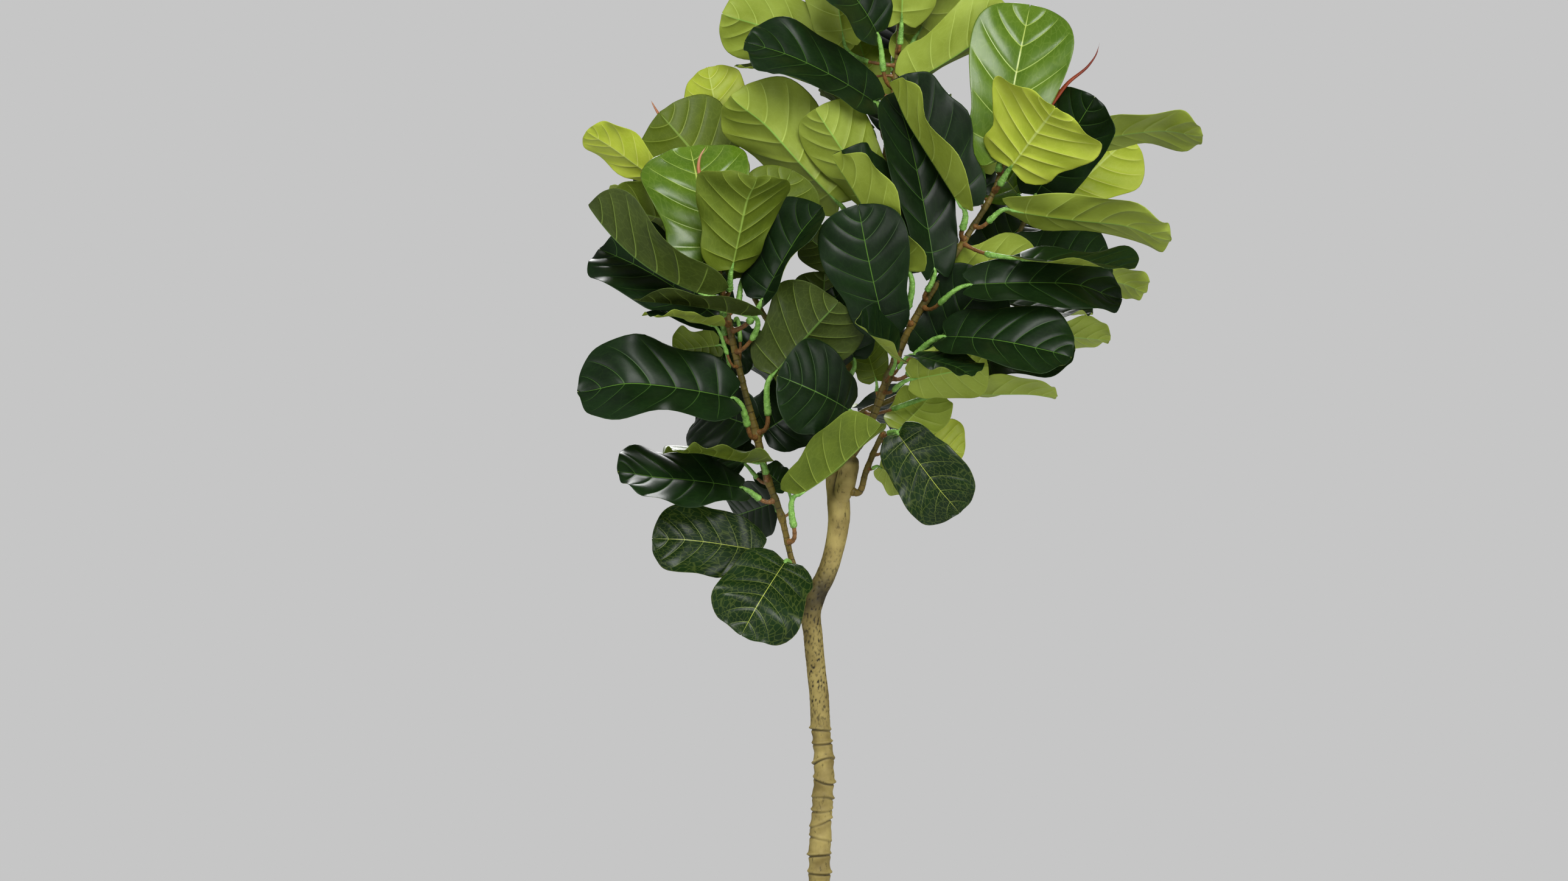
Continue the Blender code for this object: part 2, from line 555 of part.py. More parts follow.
def build_leaves(parts, routes):
    for number, leaf in enumerate(place_leaves(LEAVES, routes)):
        points, faces = loft(leaf.rings())
        mesh = bpy.data.meshes.new(f"leaf_{number + 1:02d}")
        mesh.from_pydata(points, [], faces)
        form = bmesh.new()
        form.from_mesh(mesh)
        bmesh.ops.recalc_face_normals(form, faces=form.faces)
        form.to_mesh(mesh)
        form.free()
        smooth(mesh)
        add_object(mesh.name, mesh, parts, f"leaf_{LEAVES[number][-1]}")


def main():
    clear_scene()
    scene = bpy.context.scene
    parts = bpy.data.collections.new("fiddle_leaf_fig")
    cutters = bpy.data.collections.new("cutters")
    for collection in (parts, cutters):
        scene.collection.children.link(collection)
    cutters.hide_render = True
    build_pot(parts, cutters)
    build_soil(parts)
    build_trunk(parts, cutters)
    routes = stem_routes()
    for name in STEMS:
        tube(f"stem_{name}", routes[name], parts, STEM_SIDES, "stem_bark")
    for name, route in BUDS.items():
        tube(name, route, parts, 6, "bud_sheath")
    build_leaves(parts, routes)


main()
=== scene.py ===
# %% [markdown]
# # A potted fiddle leaf fig, 1.8 m tall
# One bent, ringed trunk forks about half way up into a leader and a short stub, and thin stems
# carry big waxy leaves on short green stalks. The hard frame already holds the pot, the soil,
# the wood and the bigger leaves as plain solids. Here each of them gets its real skin: bark with
# leaf scars, crumbly soil, and leaves with veins that stand out of a puckered blade. The smaller
# leaves that fill the crown are made here only.

import json
import math

import bpy
import numpy as np
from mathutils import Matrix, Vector, noise
from mathutils.bvhtree import BVHTree

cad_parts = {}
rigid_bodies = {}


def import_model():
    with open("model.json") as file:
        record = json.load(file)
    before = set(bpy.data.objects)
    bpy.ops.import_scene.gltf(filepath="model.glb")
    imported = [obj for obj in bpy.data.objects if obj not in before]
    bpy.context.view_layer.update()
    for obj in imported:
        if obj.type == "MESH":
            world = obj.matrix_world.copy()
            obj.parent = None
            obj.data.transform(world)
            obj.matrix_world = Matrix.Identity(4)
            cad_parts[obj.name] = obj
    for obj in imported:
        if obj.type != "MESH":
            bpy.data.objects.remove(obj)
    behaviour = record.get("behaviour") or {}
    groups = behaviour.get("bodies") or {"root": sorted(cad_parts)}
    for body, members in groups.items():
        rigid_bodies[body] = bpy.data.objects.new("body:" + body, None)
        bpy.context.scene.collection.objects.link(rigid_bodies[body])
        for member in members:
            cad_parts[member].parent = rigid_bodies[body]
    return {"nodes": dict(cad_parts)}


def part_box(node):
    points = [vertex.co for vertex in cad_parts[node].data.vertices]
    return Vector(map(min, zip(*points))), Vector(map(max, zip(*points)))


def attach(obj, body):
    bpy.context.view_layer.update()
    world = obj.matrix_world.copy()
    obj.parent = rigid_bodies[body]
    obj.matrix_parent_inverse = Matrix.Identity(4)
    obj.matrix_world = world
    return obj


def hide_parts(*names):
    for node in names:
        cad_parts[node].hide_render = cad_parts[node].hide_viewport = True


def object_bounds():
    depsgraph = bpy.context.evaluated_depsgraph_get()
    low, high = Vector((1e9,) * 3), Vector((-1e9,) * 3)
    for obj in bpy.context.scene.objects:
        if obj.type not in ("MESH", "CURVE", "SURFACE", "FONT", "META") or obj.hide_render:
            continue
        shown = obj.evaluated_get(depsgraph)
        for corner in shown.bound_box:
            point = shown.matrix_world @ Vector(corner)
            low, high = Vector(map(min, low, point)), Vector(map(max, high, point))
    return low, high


for found in list(bpy.data.objects):
    bpy.data.objects.remove(found, do_unlink=True)
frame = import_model()
cad_low, cad_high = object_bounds()
print("solids:", len(frame["nodes"]), "box:", [round(value, 3) for value in (*cad_low, *cad_high)])

# %% [markdown]
# ## Small helpers
# Every finish is a node tree on one Principled shader. One function turns a hex colour into the
# linear numbers that a socket takes, and one function adds a node: its settings first, then its
# inputs, each a plain value or the socket that feeds it. Every finish here starts from two tones
# blended by noise and ends with a colour, a roughness and a bump, so those two steps are functions
# too. Shapes come from arrays, so more helpers turn arrays of points and faces into closed meshes
# whose faces point outwards.

# %% Colours and nodes
CM = 0.01


def linear(code):
    """An sRGB hex colour as linear red, green, blue and an alpha of 1."""
    shares = [int(code[start:start + 2], 16) / 255 for start in (1, 3, 5)]
    return (*[s / 12.92 if s <= 0.04045 else ((s + 0.055) / 1.055) ** 2.4 for s in shares], 1.0)


def add(tree, kind, settings=(), inputs=(), out=0):
    """Adds one node and gives the output socket asked for."""
    node = tree.nodes.new(kind)
    for name, value in dict(settings).items():
        setattr(node, name, value)
    for key, value in dict(inputs).items():
        if isinstance(value, bpy.types.NodeSocket):
            tree.links.new(value, node.inputs[key])
        else:
            node.inputs[key].default_value = value
    return node.outputs[out] if len(node.outputs) else node


def new_finish(name, **sockets):
    """A material with one Principled shader, and its tree. Socket names take _ for a space."""
    material = bpy.data.materials.new(name)
    material.use_nodes = True
    shader = material.node_tree.nodes["Principled BSDF"]
    for key, value in sockets.items():
        shader.inputs[key.replace("_", " ")].default_value = value
    return material, material.node_tree, shader


def stained(tree, place, scale, detail, span, tones, most=1.0, roughness=0.5):
    """Two tones blended by noise between the two ends of a span: the noise and the colour."""
    grain = add(tree, "ShaderNodeTexNoise", {},
                {0: place, "Scale": scale, "Detail": detail, "Roughness": roughness})
    share = add(tree, "ShaderNodeMapRange", {}, {0: grain, 1: span[0], 2: span[1], 4: most})
    one, other = map(linear, tones)
    return grain, add(tree, "ShaderNodeMix", {"data_type": "RGBA"}, {0: share, 6: one, 7: other}, 2)


def finished(tree, shader, colour, grain, rough, height, strength, depth):
    """Feeds a shader its colour, a roughness that follows a grain, and a bump of a depth in metres."""
    tree.links.new(colour, shader.inputs["Base Color"])
    if rough:
        uneven = add(tree, "ShaderNodeMapRange", {}, {0: grain, 3: rough[0], 4: rough[1]})
        tree.links.new(uneven, shader.inputs["Roughness"])
    bump = add(tree, "ShaderNodeBump", {}, {"Strength": strength, "Distance": depth, "Height": height})
    tree.links.new(bump, shader.inputs["Normal"])


print("mid grey in linear light:", round(linear("#808080")[0], 3))


# %% Meshes
def outward(points, faces):
    """The faces turned round if the closed shape is inside out."""
    corners = points[[(face[0], face[1], face[2]) for face in faces]]
    if all(len(face) == 4 for face in faces[:8]):
        more = points[[(face[0], face[2], face[-1]) for face in faces]]
        corners = np.concatenate([corners, more])
    corners = corners - points.mean(axis=0)
    volume = np.einsum("ij,ij->i", corners[:, 0], np.cross(corners[:, 1], corners[:, 2])).sum()
    return [tuple(reversed(face)) for face in faces] if volume < 0 else faces


def strip_faces(rows, count):
    """Quads between rings of equal count, with a cap at each end. A quad is cut from its first
    corner, so the far half of a ring starts its quads one corner on: both sides of a thin shell
    are then cut the same way and can't cross."""
    faces = []
    for row in range(rows - 1):
        low, high = row * count, (row + 1) * count
        for step in range(count):
            after = (step + 1) % count
            if step < count // 2:
                faces.append((low + step, low + after, high + after, high + step))
            else:
                faces.append((low + after, high + after, high + step, low + step))
    faces.append(tuple(range(count - 1, -1, -1)))
    faces.append(tuple(range((rows - 1) * count, rows * count)))
    return faces


def joined(shapes):
    """Several (points, faces, surface places, finish numbers) as one."""
    points, faces, places, finishes, start = [], [], [], [], 0
    for some_points, some_faces, some_places, some_finishes in shapes:
        points.append(some_points)
        faces += [tuple(corner + start for corner in face) for face in some_faces]
        places.append(some_places)
        finishes += list(some_finishes)
        start += len(some_points)
    return np.concatenate(points), faces, np.concatenate(places), finishes


def make_piece(name, points, faces, places, finishes, materials, floats=()):
    """A smooth-shaded object at the origin, with its surface places as a UV map."""
    mesh = bpy.data.meshes.new(name)
    mesh.from_pydata(points.tolist(), [], faces)
    for material in materials:
        mesh.materials.append(material)
    mesh.polygons.foreach_set("material_index", np.array(finishes, np.int32))
    corners = np.empty(len(mesh.loops), np.int32)
    mesh.loops.foreach_get("vertex_index", corners)
    layer = mesh.uv_layers.new(name="surface")
    layer.data.foreach_set("uv", np.asarray(places, np.float32)[corners].ravel())
    for title, values in dict(floats).items():
        attribute = mesh.attributes.new(title, "FLOAT", "POINT")
        attribute.data.foreach_set("value", np.asarray(values, np.float32))
    mesh.shade_smooth()
    made = bpy.data.objects.new(name, mesh)
    bpy.context.scene.collection.objects.link(made)
    return made


def settle(made, node):
    """Hands a finished piece to the frame: parents it to the root body and hides the solid it stands for.
    """
    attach(made, "root")
    if node:
        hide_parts(node)


print("faces between two rings of six, with both ends closed:", len(strip_faces(2, 6)))

# %% [markdown]
# ## Routes for the wood
# Trunk, stems and buds are all tubes along a line, so each is a short list of stations: x, y,
# height and radius in centimetres. A smooth line through the stations (each stretch a cubic
# whose slopes come from its neighbours) is cut into short even steps, and the tube's cross
# section is carried along it without twisting.

# %% Stations of the wood, in centimetres
TRUNK = (
    (0.0, 0.0, 10.5, 1.9), (0.0, 0.0, 20.2, 1.9), (0.0, 0.0, 21.5, 1.85), (0.1, 0.0, 27, 1.72),
    (0.1, 0.0, 34, 1.66), (0.2, 0.0, 40, 1.6), (0.6, 0.1, 46, 1.55), (0.7, 0.2, 52, 1.5),
    (0.3, 0.2, 55.5, 1.42), (0.1, 0.1, 60, 1.38), (-0.4, 0.0, 64.5, 1.36), (-0.8, -0.1, 69, 1.38),
    (-1.1, -0.1, 72.4, 1.45), (-0.5, 0.0, 74.8, 1.5), (0.9, 0.2, 77.4, 1.4), (1.9, 0.3, 80.2, 1.38),
    (2.6, 0.2, 83.3, 1.45), (2.9, 0.2, 86, 1.58), (2.8, 0.5, 88.5, 1.6), (2.3, 0.9, 91, 1.3),
    (2.1, 1.2, 93.5, 1.2), (2.2, 1.6, 96, 1.15),
)
TRUNK_STUB = (
    (2.9, 0.0, 87, 1.2), (3.5, -0.4, 89.5, 1.4), (4.1, -0.8, 92, 1.42), (4.4, -0.9, 93.6, 1.36),
    (4.5, -0.95, 94.3, 1.15), (4.5, -1.0, 94.6, 0.8),
)
STEMS = {
    "leader": (
        (2.2, 1.65, 96.2, 1.12), (2.8, 2.2, 100, 1.0), (3.5, 2.6, 104.2, 0.95),
        (4.2, 2.6, 107.4, 0.85), (5.6, 2.2, 114, 0.75), (7.4, 1.5, 120.7, 0.62),
        (8.4, 1.0, 127, 0.54), (8.9, 0.6, 132.9, 0.48), (10.2, 0.5, 142.5, 0.46),
        (11.3, 0.5, 152.1, 0.4), (11.7, 0.5, 160, 0.36), (11.5, 0.6, 166.5, 0.28),
    ),
    "left": (
        (-1.1, -0.4, 73.2, 0.62), (-3.0, -1.2, 76.8, 0.5), (-3.9, -1.8, 80, 0.45),
        (-5.3, -2.8, 86, 0.5), (-7.5, -3.8, 92.1, 0.55), (-9.0, -4.5, 98.3, 0.55),
        (-10.8, -5.2, 105, 0.5), (-12.4, -5.8, 111.7, 0.48), (-13.2, -6.2, 116, 0.45),
        (-14.0, -7.0, 120, 0.4), (-14.4, -9.2, 124, 0.35), (-14.9, -11.0, 128, 0.28),
        (-15.3, -11.6, 130.2, 0.24),
    ),
    "right": (
        (4.9, -1.0, 95.0, 0.62), (6.4, -1.3, 97.4, 0.6), (7.6, -1.8, 100, 0.58),
        (8.9, -2.3, 103.4, 0.6), (10.4, -2.8, 107.2, 0.6), (13.6, -3.6, 114.1, 0.55),
        (16.6, -4.2, 119, 0.5), (21.5, -4.8, 126.7, 0.45), (24.9, -5.0, 132.4, 0.4),
        (26.2, -5.0, 136, 0.34), (28.4, -4.8, 139.2, 0.3), (30.9, -4.5, 142, 0.24),
    ),
    "low": (
        (4.1, -0.9, 90.0, 0.5), (6.7, -1.9, 92.4, 0.46), (7.8, -2.4, 95.2, 0.42),
        (9.3, -2.9, 98.3, 0.36),
    ),
    "left_back": (
        (3.6, 2.6, 105.0, 0.5), (0.4, 3.9, 106.6, 0.46), (-3.0, 4.5, 109.6, 0.44),
        (-6.2, 5.0, 112.7, 0.42), (-11, 5.8, 121, 0.4), (-14, 6.2, 127, 0.36),
        (-17, 7.0, 133.5, 0.3), (-18.6, 8.8, 137.4, 0.26), (-20.4, 10.6, 140.6, 0.22),
    ),
    "right_back": (
        (2.7, 2.1, 99.0, 0.5), (5.4, 4.4, 100.3, 0.47), (12, 6.0, 103.6, 0.46),
        (19, 7.5, 110.2, 0.44), (25, 8.0, 119, 0.4), (29, 7.5, 127, 0.36),
        (32, 6.5, 134, 0.3), (33, 6.0, 137.5, 0.24),
    ),
}
# What each stem grows from, the height where it leaves it, and the way it sets off.
STEM_FROM = {
    "left": ("trunk", 73.2, (-1.0, -0.35, 0.25)),
    "low": ("stub", 90.0, (1.0, -0.4, 0.3)),
    "left_back": ("leader", 105.0, (-0.9, 0.6, 0.2)),
    "right_back": ("leader", 99.0, (0.75, 0.65, 0.1)),
}
BUDS = {
    "bud_left": ((-15.35, -11.7, 130.5, 0.2), (-16.3, -12.0, 133, 0.3), (-17.0, -12.0, 135.4, 0.24),
                 (-16.8, -11.9, 136.8, 0.16), (-15.9, -11.7, 138.4, 0.07)),
    "bud_right": ((31.15, -4.5, 142.3, 0.2), (33.0, -4.7, 144.6, 0.32), (35.3, -4.8, 147.6, 0.26),
                  (38.4, -4.9, 150.3, 0.16), (39.3, -4.9, 151.6, 0.1), (39.9, -4.9, 153.4, 0.05)),
    "bud_top": ((11.48, 0.6, 166.9, 0.24), (11.3, 0.6, 169, 0.34), (11.4, 0.5, 172, 0.26),
                (11.9, 0.4, 175, 0.14), (12.4, 0.4, 177, 0.06)),
    "bud_back": ((-20.5, 10.7, 140.8, 0.2), (-22.4, 11.0, 143.2, 0.26), (-23.6, 11.0, 145.0, 0.14),
                 (-24.3, 11.0, 146.3, 0.05)),
}
GAP = 0.0005                 # m that the solids leave between a stalk or stem and its parent
print("stems:", len(STEMS), "bud sheaths:", len(BUDS))


# %% Lines through stations
def cubic(places, values, at):
    """Smooth values through (places, values) at other places, arrays along the first axis."""
    places, values, at = (np.asarray(given, float) for given in (places, values, at))
    slopes = np.gradient(values, places, axis=0)
    low = np.clip(np.searchsorted(places, at, side="right") - 1, 0, len(places) - 2)
    span = places[low + 1] - places[low]
    share = np.clip((at - places[low]) / span, 0.0, 1.0)
    if values.ndim > 1:
        span, share = span[:, None], share[:, None]
    first, last = values[low], values[low + 1]
    rise = first + (last - first) * share * share * (3 - 2 * share)
    lean = slopes[low] * share * (1 - share) ** 2 - slopes[low + 1] * share * share * (1 - share)
    return rise + lean * span


def run_along(line):
    """How far along a line each of its points lies."""
    return np.concatenate([[0.0], np.cumsum(np.linalg.norm(np.diff(line, axis=0), axis=1))])


def smooth_route(route, step):
    """Points and radii in metres along a smooth line through the stations."""
    stations = np.array(route, float) * CM
    reach = run_along(stations[:, :3])
    places = np.linspace(0.0, reach[-1], max(int(reach[-1] / step), 4))
    line = cubic(reach, stations, places)
    return line[:, :3], line[:, 3]


def carried_frames(line):
    """Two unit directions across the line at each point, carried along without twisting."""
    heading = np.gradient(line, axis=0)
    heading /= np.linalg.norm(heading, axis=1)[:, None]
    side = np.cross(heading[0], (0.0, 1.0, 0.2))
    sides = []
    for direction in heading:
        side = side - direction * side.dot(direction)
        side = side / np.linalg.norm(side)
        sides.append(side)
    sides = np.array(sides)
    return sides, np.cross(heading, sides)


def tube(line, radii, count):
    """A closed tube: points, faces and places (share of the way round, metres along)."""
    side, over = carried_frames(line)
    angles = np.arange(count) * math.tau / count
    radii = np.broadcast_to(np.reshape(radii, (len(line), -1)), (len(line), count))
    spokes = (side[:, None] * np.cos(angles)[None, :, None]
              + over[:, None] * np.sin(angles)[None, :, None])
    points = (line[:, None] + spokes * radii[:, :, None]).reshape(-1, 3)
    places = np.stack([np.tile(angles / math.tau, len(line)), np.repeat(run_along(line), count)], axis=1)
    return points, outward(points, strip_faces(len(line), count)), places


def on_route(route, height):
    """Point and radius where straight runs through the stations pass a height."""
    for low, high in zip(route, route[1:]):
        if low[2] <= height <= high[2]:
            share = (height - low[2]) / (high[2] - low[2])
            return [a + (b - a) * share for a, b in zip(low, high)]
    return list(route[-1] if height > route[-1][2] else route[0])


def side_direction(route, height, towards):
    """The unit vector at right angles to a route that points nearest to a direction."""
    below = Vector(on_route(route, height - 0.5)[:3])
    above = Vector(on_route(route, height + 0.5)[:3])
    along = (above - below).normalized()
    return (towards - along * towards.dot(along)).normalized()


def stem_routes():
    """Each stem's route, starting just off the surface of the wood that it grows from."""
    routes = {"trunk": TRUNK, "stub": TRUNK_STUB, "leader": STEMS["leader"]}
    for name, route in STEMS.items():
        if name in STEM_FROM:
            parent, height, towards = STEM_FROM[name]
            outwards = side_direction(routes[parent], height, Vector(towards))
            x, y, z, radius = on_route(routes[parent], height)
            start = Vector((x, y, z)) + outwards * (radius + GAP / CM)
            run = start + outwards * 0.5
            first = route[0][3]
            route = ((*start, first), (*run, first)) + route[1:]
        routes[name] = route
    return routes


ROUTES = stem_routes()
print("routes:", {name: len(route) for name, route in ROUTES.items()})

# %% [markdown]
# ## Where each leaf sits
# A leaf is a row: the stem and the height where its stalk leaves it, the blade's base and tip,
# the turn of its upper face (0 towards the front, 90 up, 180 to the back), the fold at the
# midrib, the arch and the full width. In the solids each leaf was moved a little until it was
# clear of its neighbours. The same small moves are tried here in the same order, and the one
# whose box is the solid's box is the leaf's place, so skin and solid agree.

# %% The leaves of the frame, in centimetres and degrees
LEAVES = (
    ("left", 79.5, (-8.2, -5.0, 81.2), (-23.2, -9.0, 83.3), 20, 6, 0.05, 10.8, "old"),
    ("left", 77.5, (-4.8, -6.0, 79.7), (-10.6, -13.5, 70.6), 8, 5, 0.06, 13.3, "old"),
    ("left", 82.5, (-3.2, -6.0, 89.2), (8.4, -12.0, 99.3), 122, 30, -0.06, 13.0, "old"),
    ("right", 96.5, (4.3, -6.0, 101.2), (-5.8, -15.0, 106.0), 15, 10, 0.08, 14.0, "old"),
    ("left", 98.0, (-6.7, -7.5, 106.1), (2.6, -11.0, 116.6), 165, 15, 0.0, 15.0, "old"),
    ("left", 97.5, (-12.2, -8.0, 102.9), (-33.2, -13.0, 105.3), 40, 16, 0.04, 15.0, "old"),
    ("left", 91.5, (-8.4, -6.0, 93.9), (-19.8, -15.0, 96.4), 98, 9, -0.03, 12.5, "old"),
    ("left", 88.5, (-11.0, -5.5, 90.2), (-28.4, -11.0, 91.8), 52, 6, 0.03, 12.5, "old"),
    ("right", 113.5, (12.6, -9.0, 120.8), (2.2, -11.0, 137.1), 80, 49, -0.02, 14.0, "old"),
    ("right", 109.0, (9.3, -7.5, 112.8), (5.5, -8.5, 129.9), 0, 12, 0.06, 13.5, "old"),
    ("right", 125.5, (20.4, -8.5, 129.8), (9.3, -9.5, 146.8), 57, 57, 0.0, 15.0, "old"),
    ("right", 117.0, (16.4, -6.5, 121.0), (11.2, -5.0, 146.2), 18, 15, 0.03, 11.5, "old"),
    ("right", 118.5, (17.4, -8.5, 121.6), (30.8, -12.0, 120.2), 132, 32, -0.04, 12.5, "old"),
    ("right", 108.5, (17.7, -8.5, 111.6), (35.2, -14.0, 108.4), 44, 14, 0.06, 13.0, "old"),
    ("right", 116.0, (21.3, -9.5, 118.9), (42.7, -9.0, 118.6), 40, 13, 0.03, 11.0, "old"),
    ("low", 97.8, (11.2, -6.5, 97.9), (19.5, -8.5, 86.8), 350, 8, 0.04, 10.8, "old"),
    ("left", 116.5, (-15.4, -7.5, 122.6), (-18.3, -3.0, 139.3), 5, 10, 0.04, 15.5, "mid"),
    ("left", 117.5, (-12.4, -10.5, 120.9), (-9.3, -17.0, 134.6), 163, 30, 0.0, 16.0, "young"),
    ("left", 113.5, (-15.0, -9.5, 117.3), (-32.4, -10.0, 129.9), 100, 35, -0.10, 13.5, "old"),
    ("left", 111.0, (-14.2, -8.0, 114.2), (-31.2, -5.0, 124.4), 36, 10, 0.05, 14.0, "old"),
    ("left", 112.5, (-8.0, -9.0, 116.8), (0.0, -11.0, 130.0), 42, 24, 0.03, 14.0, "old"),
    ("left", 109.5, (-9.5, -8.5, 114.5), (-25.0, -13.0, 116.4), 97, 12, 0.02, 12.0, "old"),
    ("right", 135.0, (25.6, -7.5, 136.5), (30.0, -3.5, 158.9), 5, 12, 0.03, 15.0, "mid"),
    ("right", 132.5, (27.0, -9.0, 135.4), (33.4, -19.0, 144.0), 180, 5, 0.0, 18.0, "young"),
    ("right", 127.5, (27.0, -7.5, 129.7), (49.7, -9.0, 127.4), 117, 10, -0.03, 11.5, "old"),
    ("right_back", 135.0, (36.3, 0.0, 139.4), (54.4, -2.0, 141.5), 116, 3, 0.03, 11.0, "old"),
    ("right_back", 129.0, (35.0, 7.0, 131.5), (45.0, 9.0, 140.8), 170, 8, 0.03, 12.5, "young"),
    ("right_back", 118.0, (27.5, 0.0, 122.8), (42.0, -2.0, 123.2), 40, 10, 0.05, 13.0, "old"),
    ("right", 104.0, (13.0, -7.0, 105.6), (23.8, -6.5, 107.6), 160, 12, 0.0, 10.0, "old"),
    ("leader", 123.0, (3.0, -1.0, 130.7), (-11.3, -2.0, 146.8), 153, 26, -0.04, 15.0, "old"),
    ("leader", 126.5, (8.2, -3.0, 131.2), (-0.4, -5.5, 143.8), 153, 26, -0.03, 11.5, "old"),
    ("leader", 140.0, (8.0, -3.5, 145.0), (-10.1, -7.0, 153.6), 48, 12, 0.05, 12.5, "old"),
    ("leader", 146.0, (3.6, 3.0, 152.0), (-13.3, 4.0, 158.6), 160, 15, -0.03, 12.0, "old"),
    ("leader", 143.5, (12.8, 0.5, 148.2), (27.4, -1.0, 157.8), 135, 38, -0.05, 12.0, "old"),
    ("leader", 147.5, (8.3, -3.5, 154.8), (-0.4, -9.0, 165.0), 40, 15, 0.08, 12.0, "old"),
    ("leader", 152.5, (11.8, -2.5, 156.5), (12.2, -8.0, 173.0), 180, 10, -0.05, 12.0, "old"),
    ("leader", 162.0, (9.5, -1.0, 167.0), (1.0, -4.0, 178.0), 140, 20, 0.0, 11.0, "mid"),
    ("leader", 163.5, (13.5, 2.0, 167.5), (22.0, 6.0, 178.5), 150, 15, 0.0, 11.0, "mid"),
    ("leader", 157.0, (8.5, 4.5, 160.5), (-3.0, 15.0, 168.0), 20, 12, 0.05, 12.0, "old"),
    ("leader", 112.0, (5.0, 6.5, 116.0), (0.0, 21.0, 124.0), 0, 12, 0.06, 13.0, "old"),
    ("leader", 130.0, (7.0, 5.5, 134.0), (-3.0, 19.0, 141.0), 5, 12, 0.06, 13.0, "old"),
    ("leader", 137.0, (11.5, 5.0, 141.0), (13.5, 19.5, 148.0), 10, 12, 0.05, 13.0, "old"),
    ("leader", 148.5, (11.0, 5.0, 153.0), (12.5, 20.0, 161.0), 0, 14, 0.05, 12.5, "old"),
    ("left_back", 119.0, (-10.5, 10.0, 122.0), (-15.0, 24.0, 127.0), 0, 12, 0.06, 13.0, "old"),
    ("left_back", 112.5, (-7.0, 9.5, 112.0), (-10.0, 23.0, 107.0), 350, 10, 0.07, 13.0, "old"),
    ("right_back", 109.0, (18.5, 12.0, 111.0), (16.0, 26.0, 116.0), 0, 12, 0.06, 13.0, "old"),
    ("right_back", 121.0, (27.5, 12.0, 122.0), (37.0, 23.0, 125.0), 10, 10, 0.06, 13.0, "old"),
    ("right_back", 129.5, (29.0, 11.5, 132.5), (24.0, 24.0, 140.0), 0, 14, 0.05, 12.5, "mid"),
)
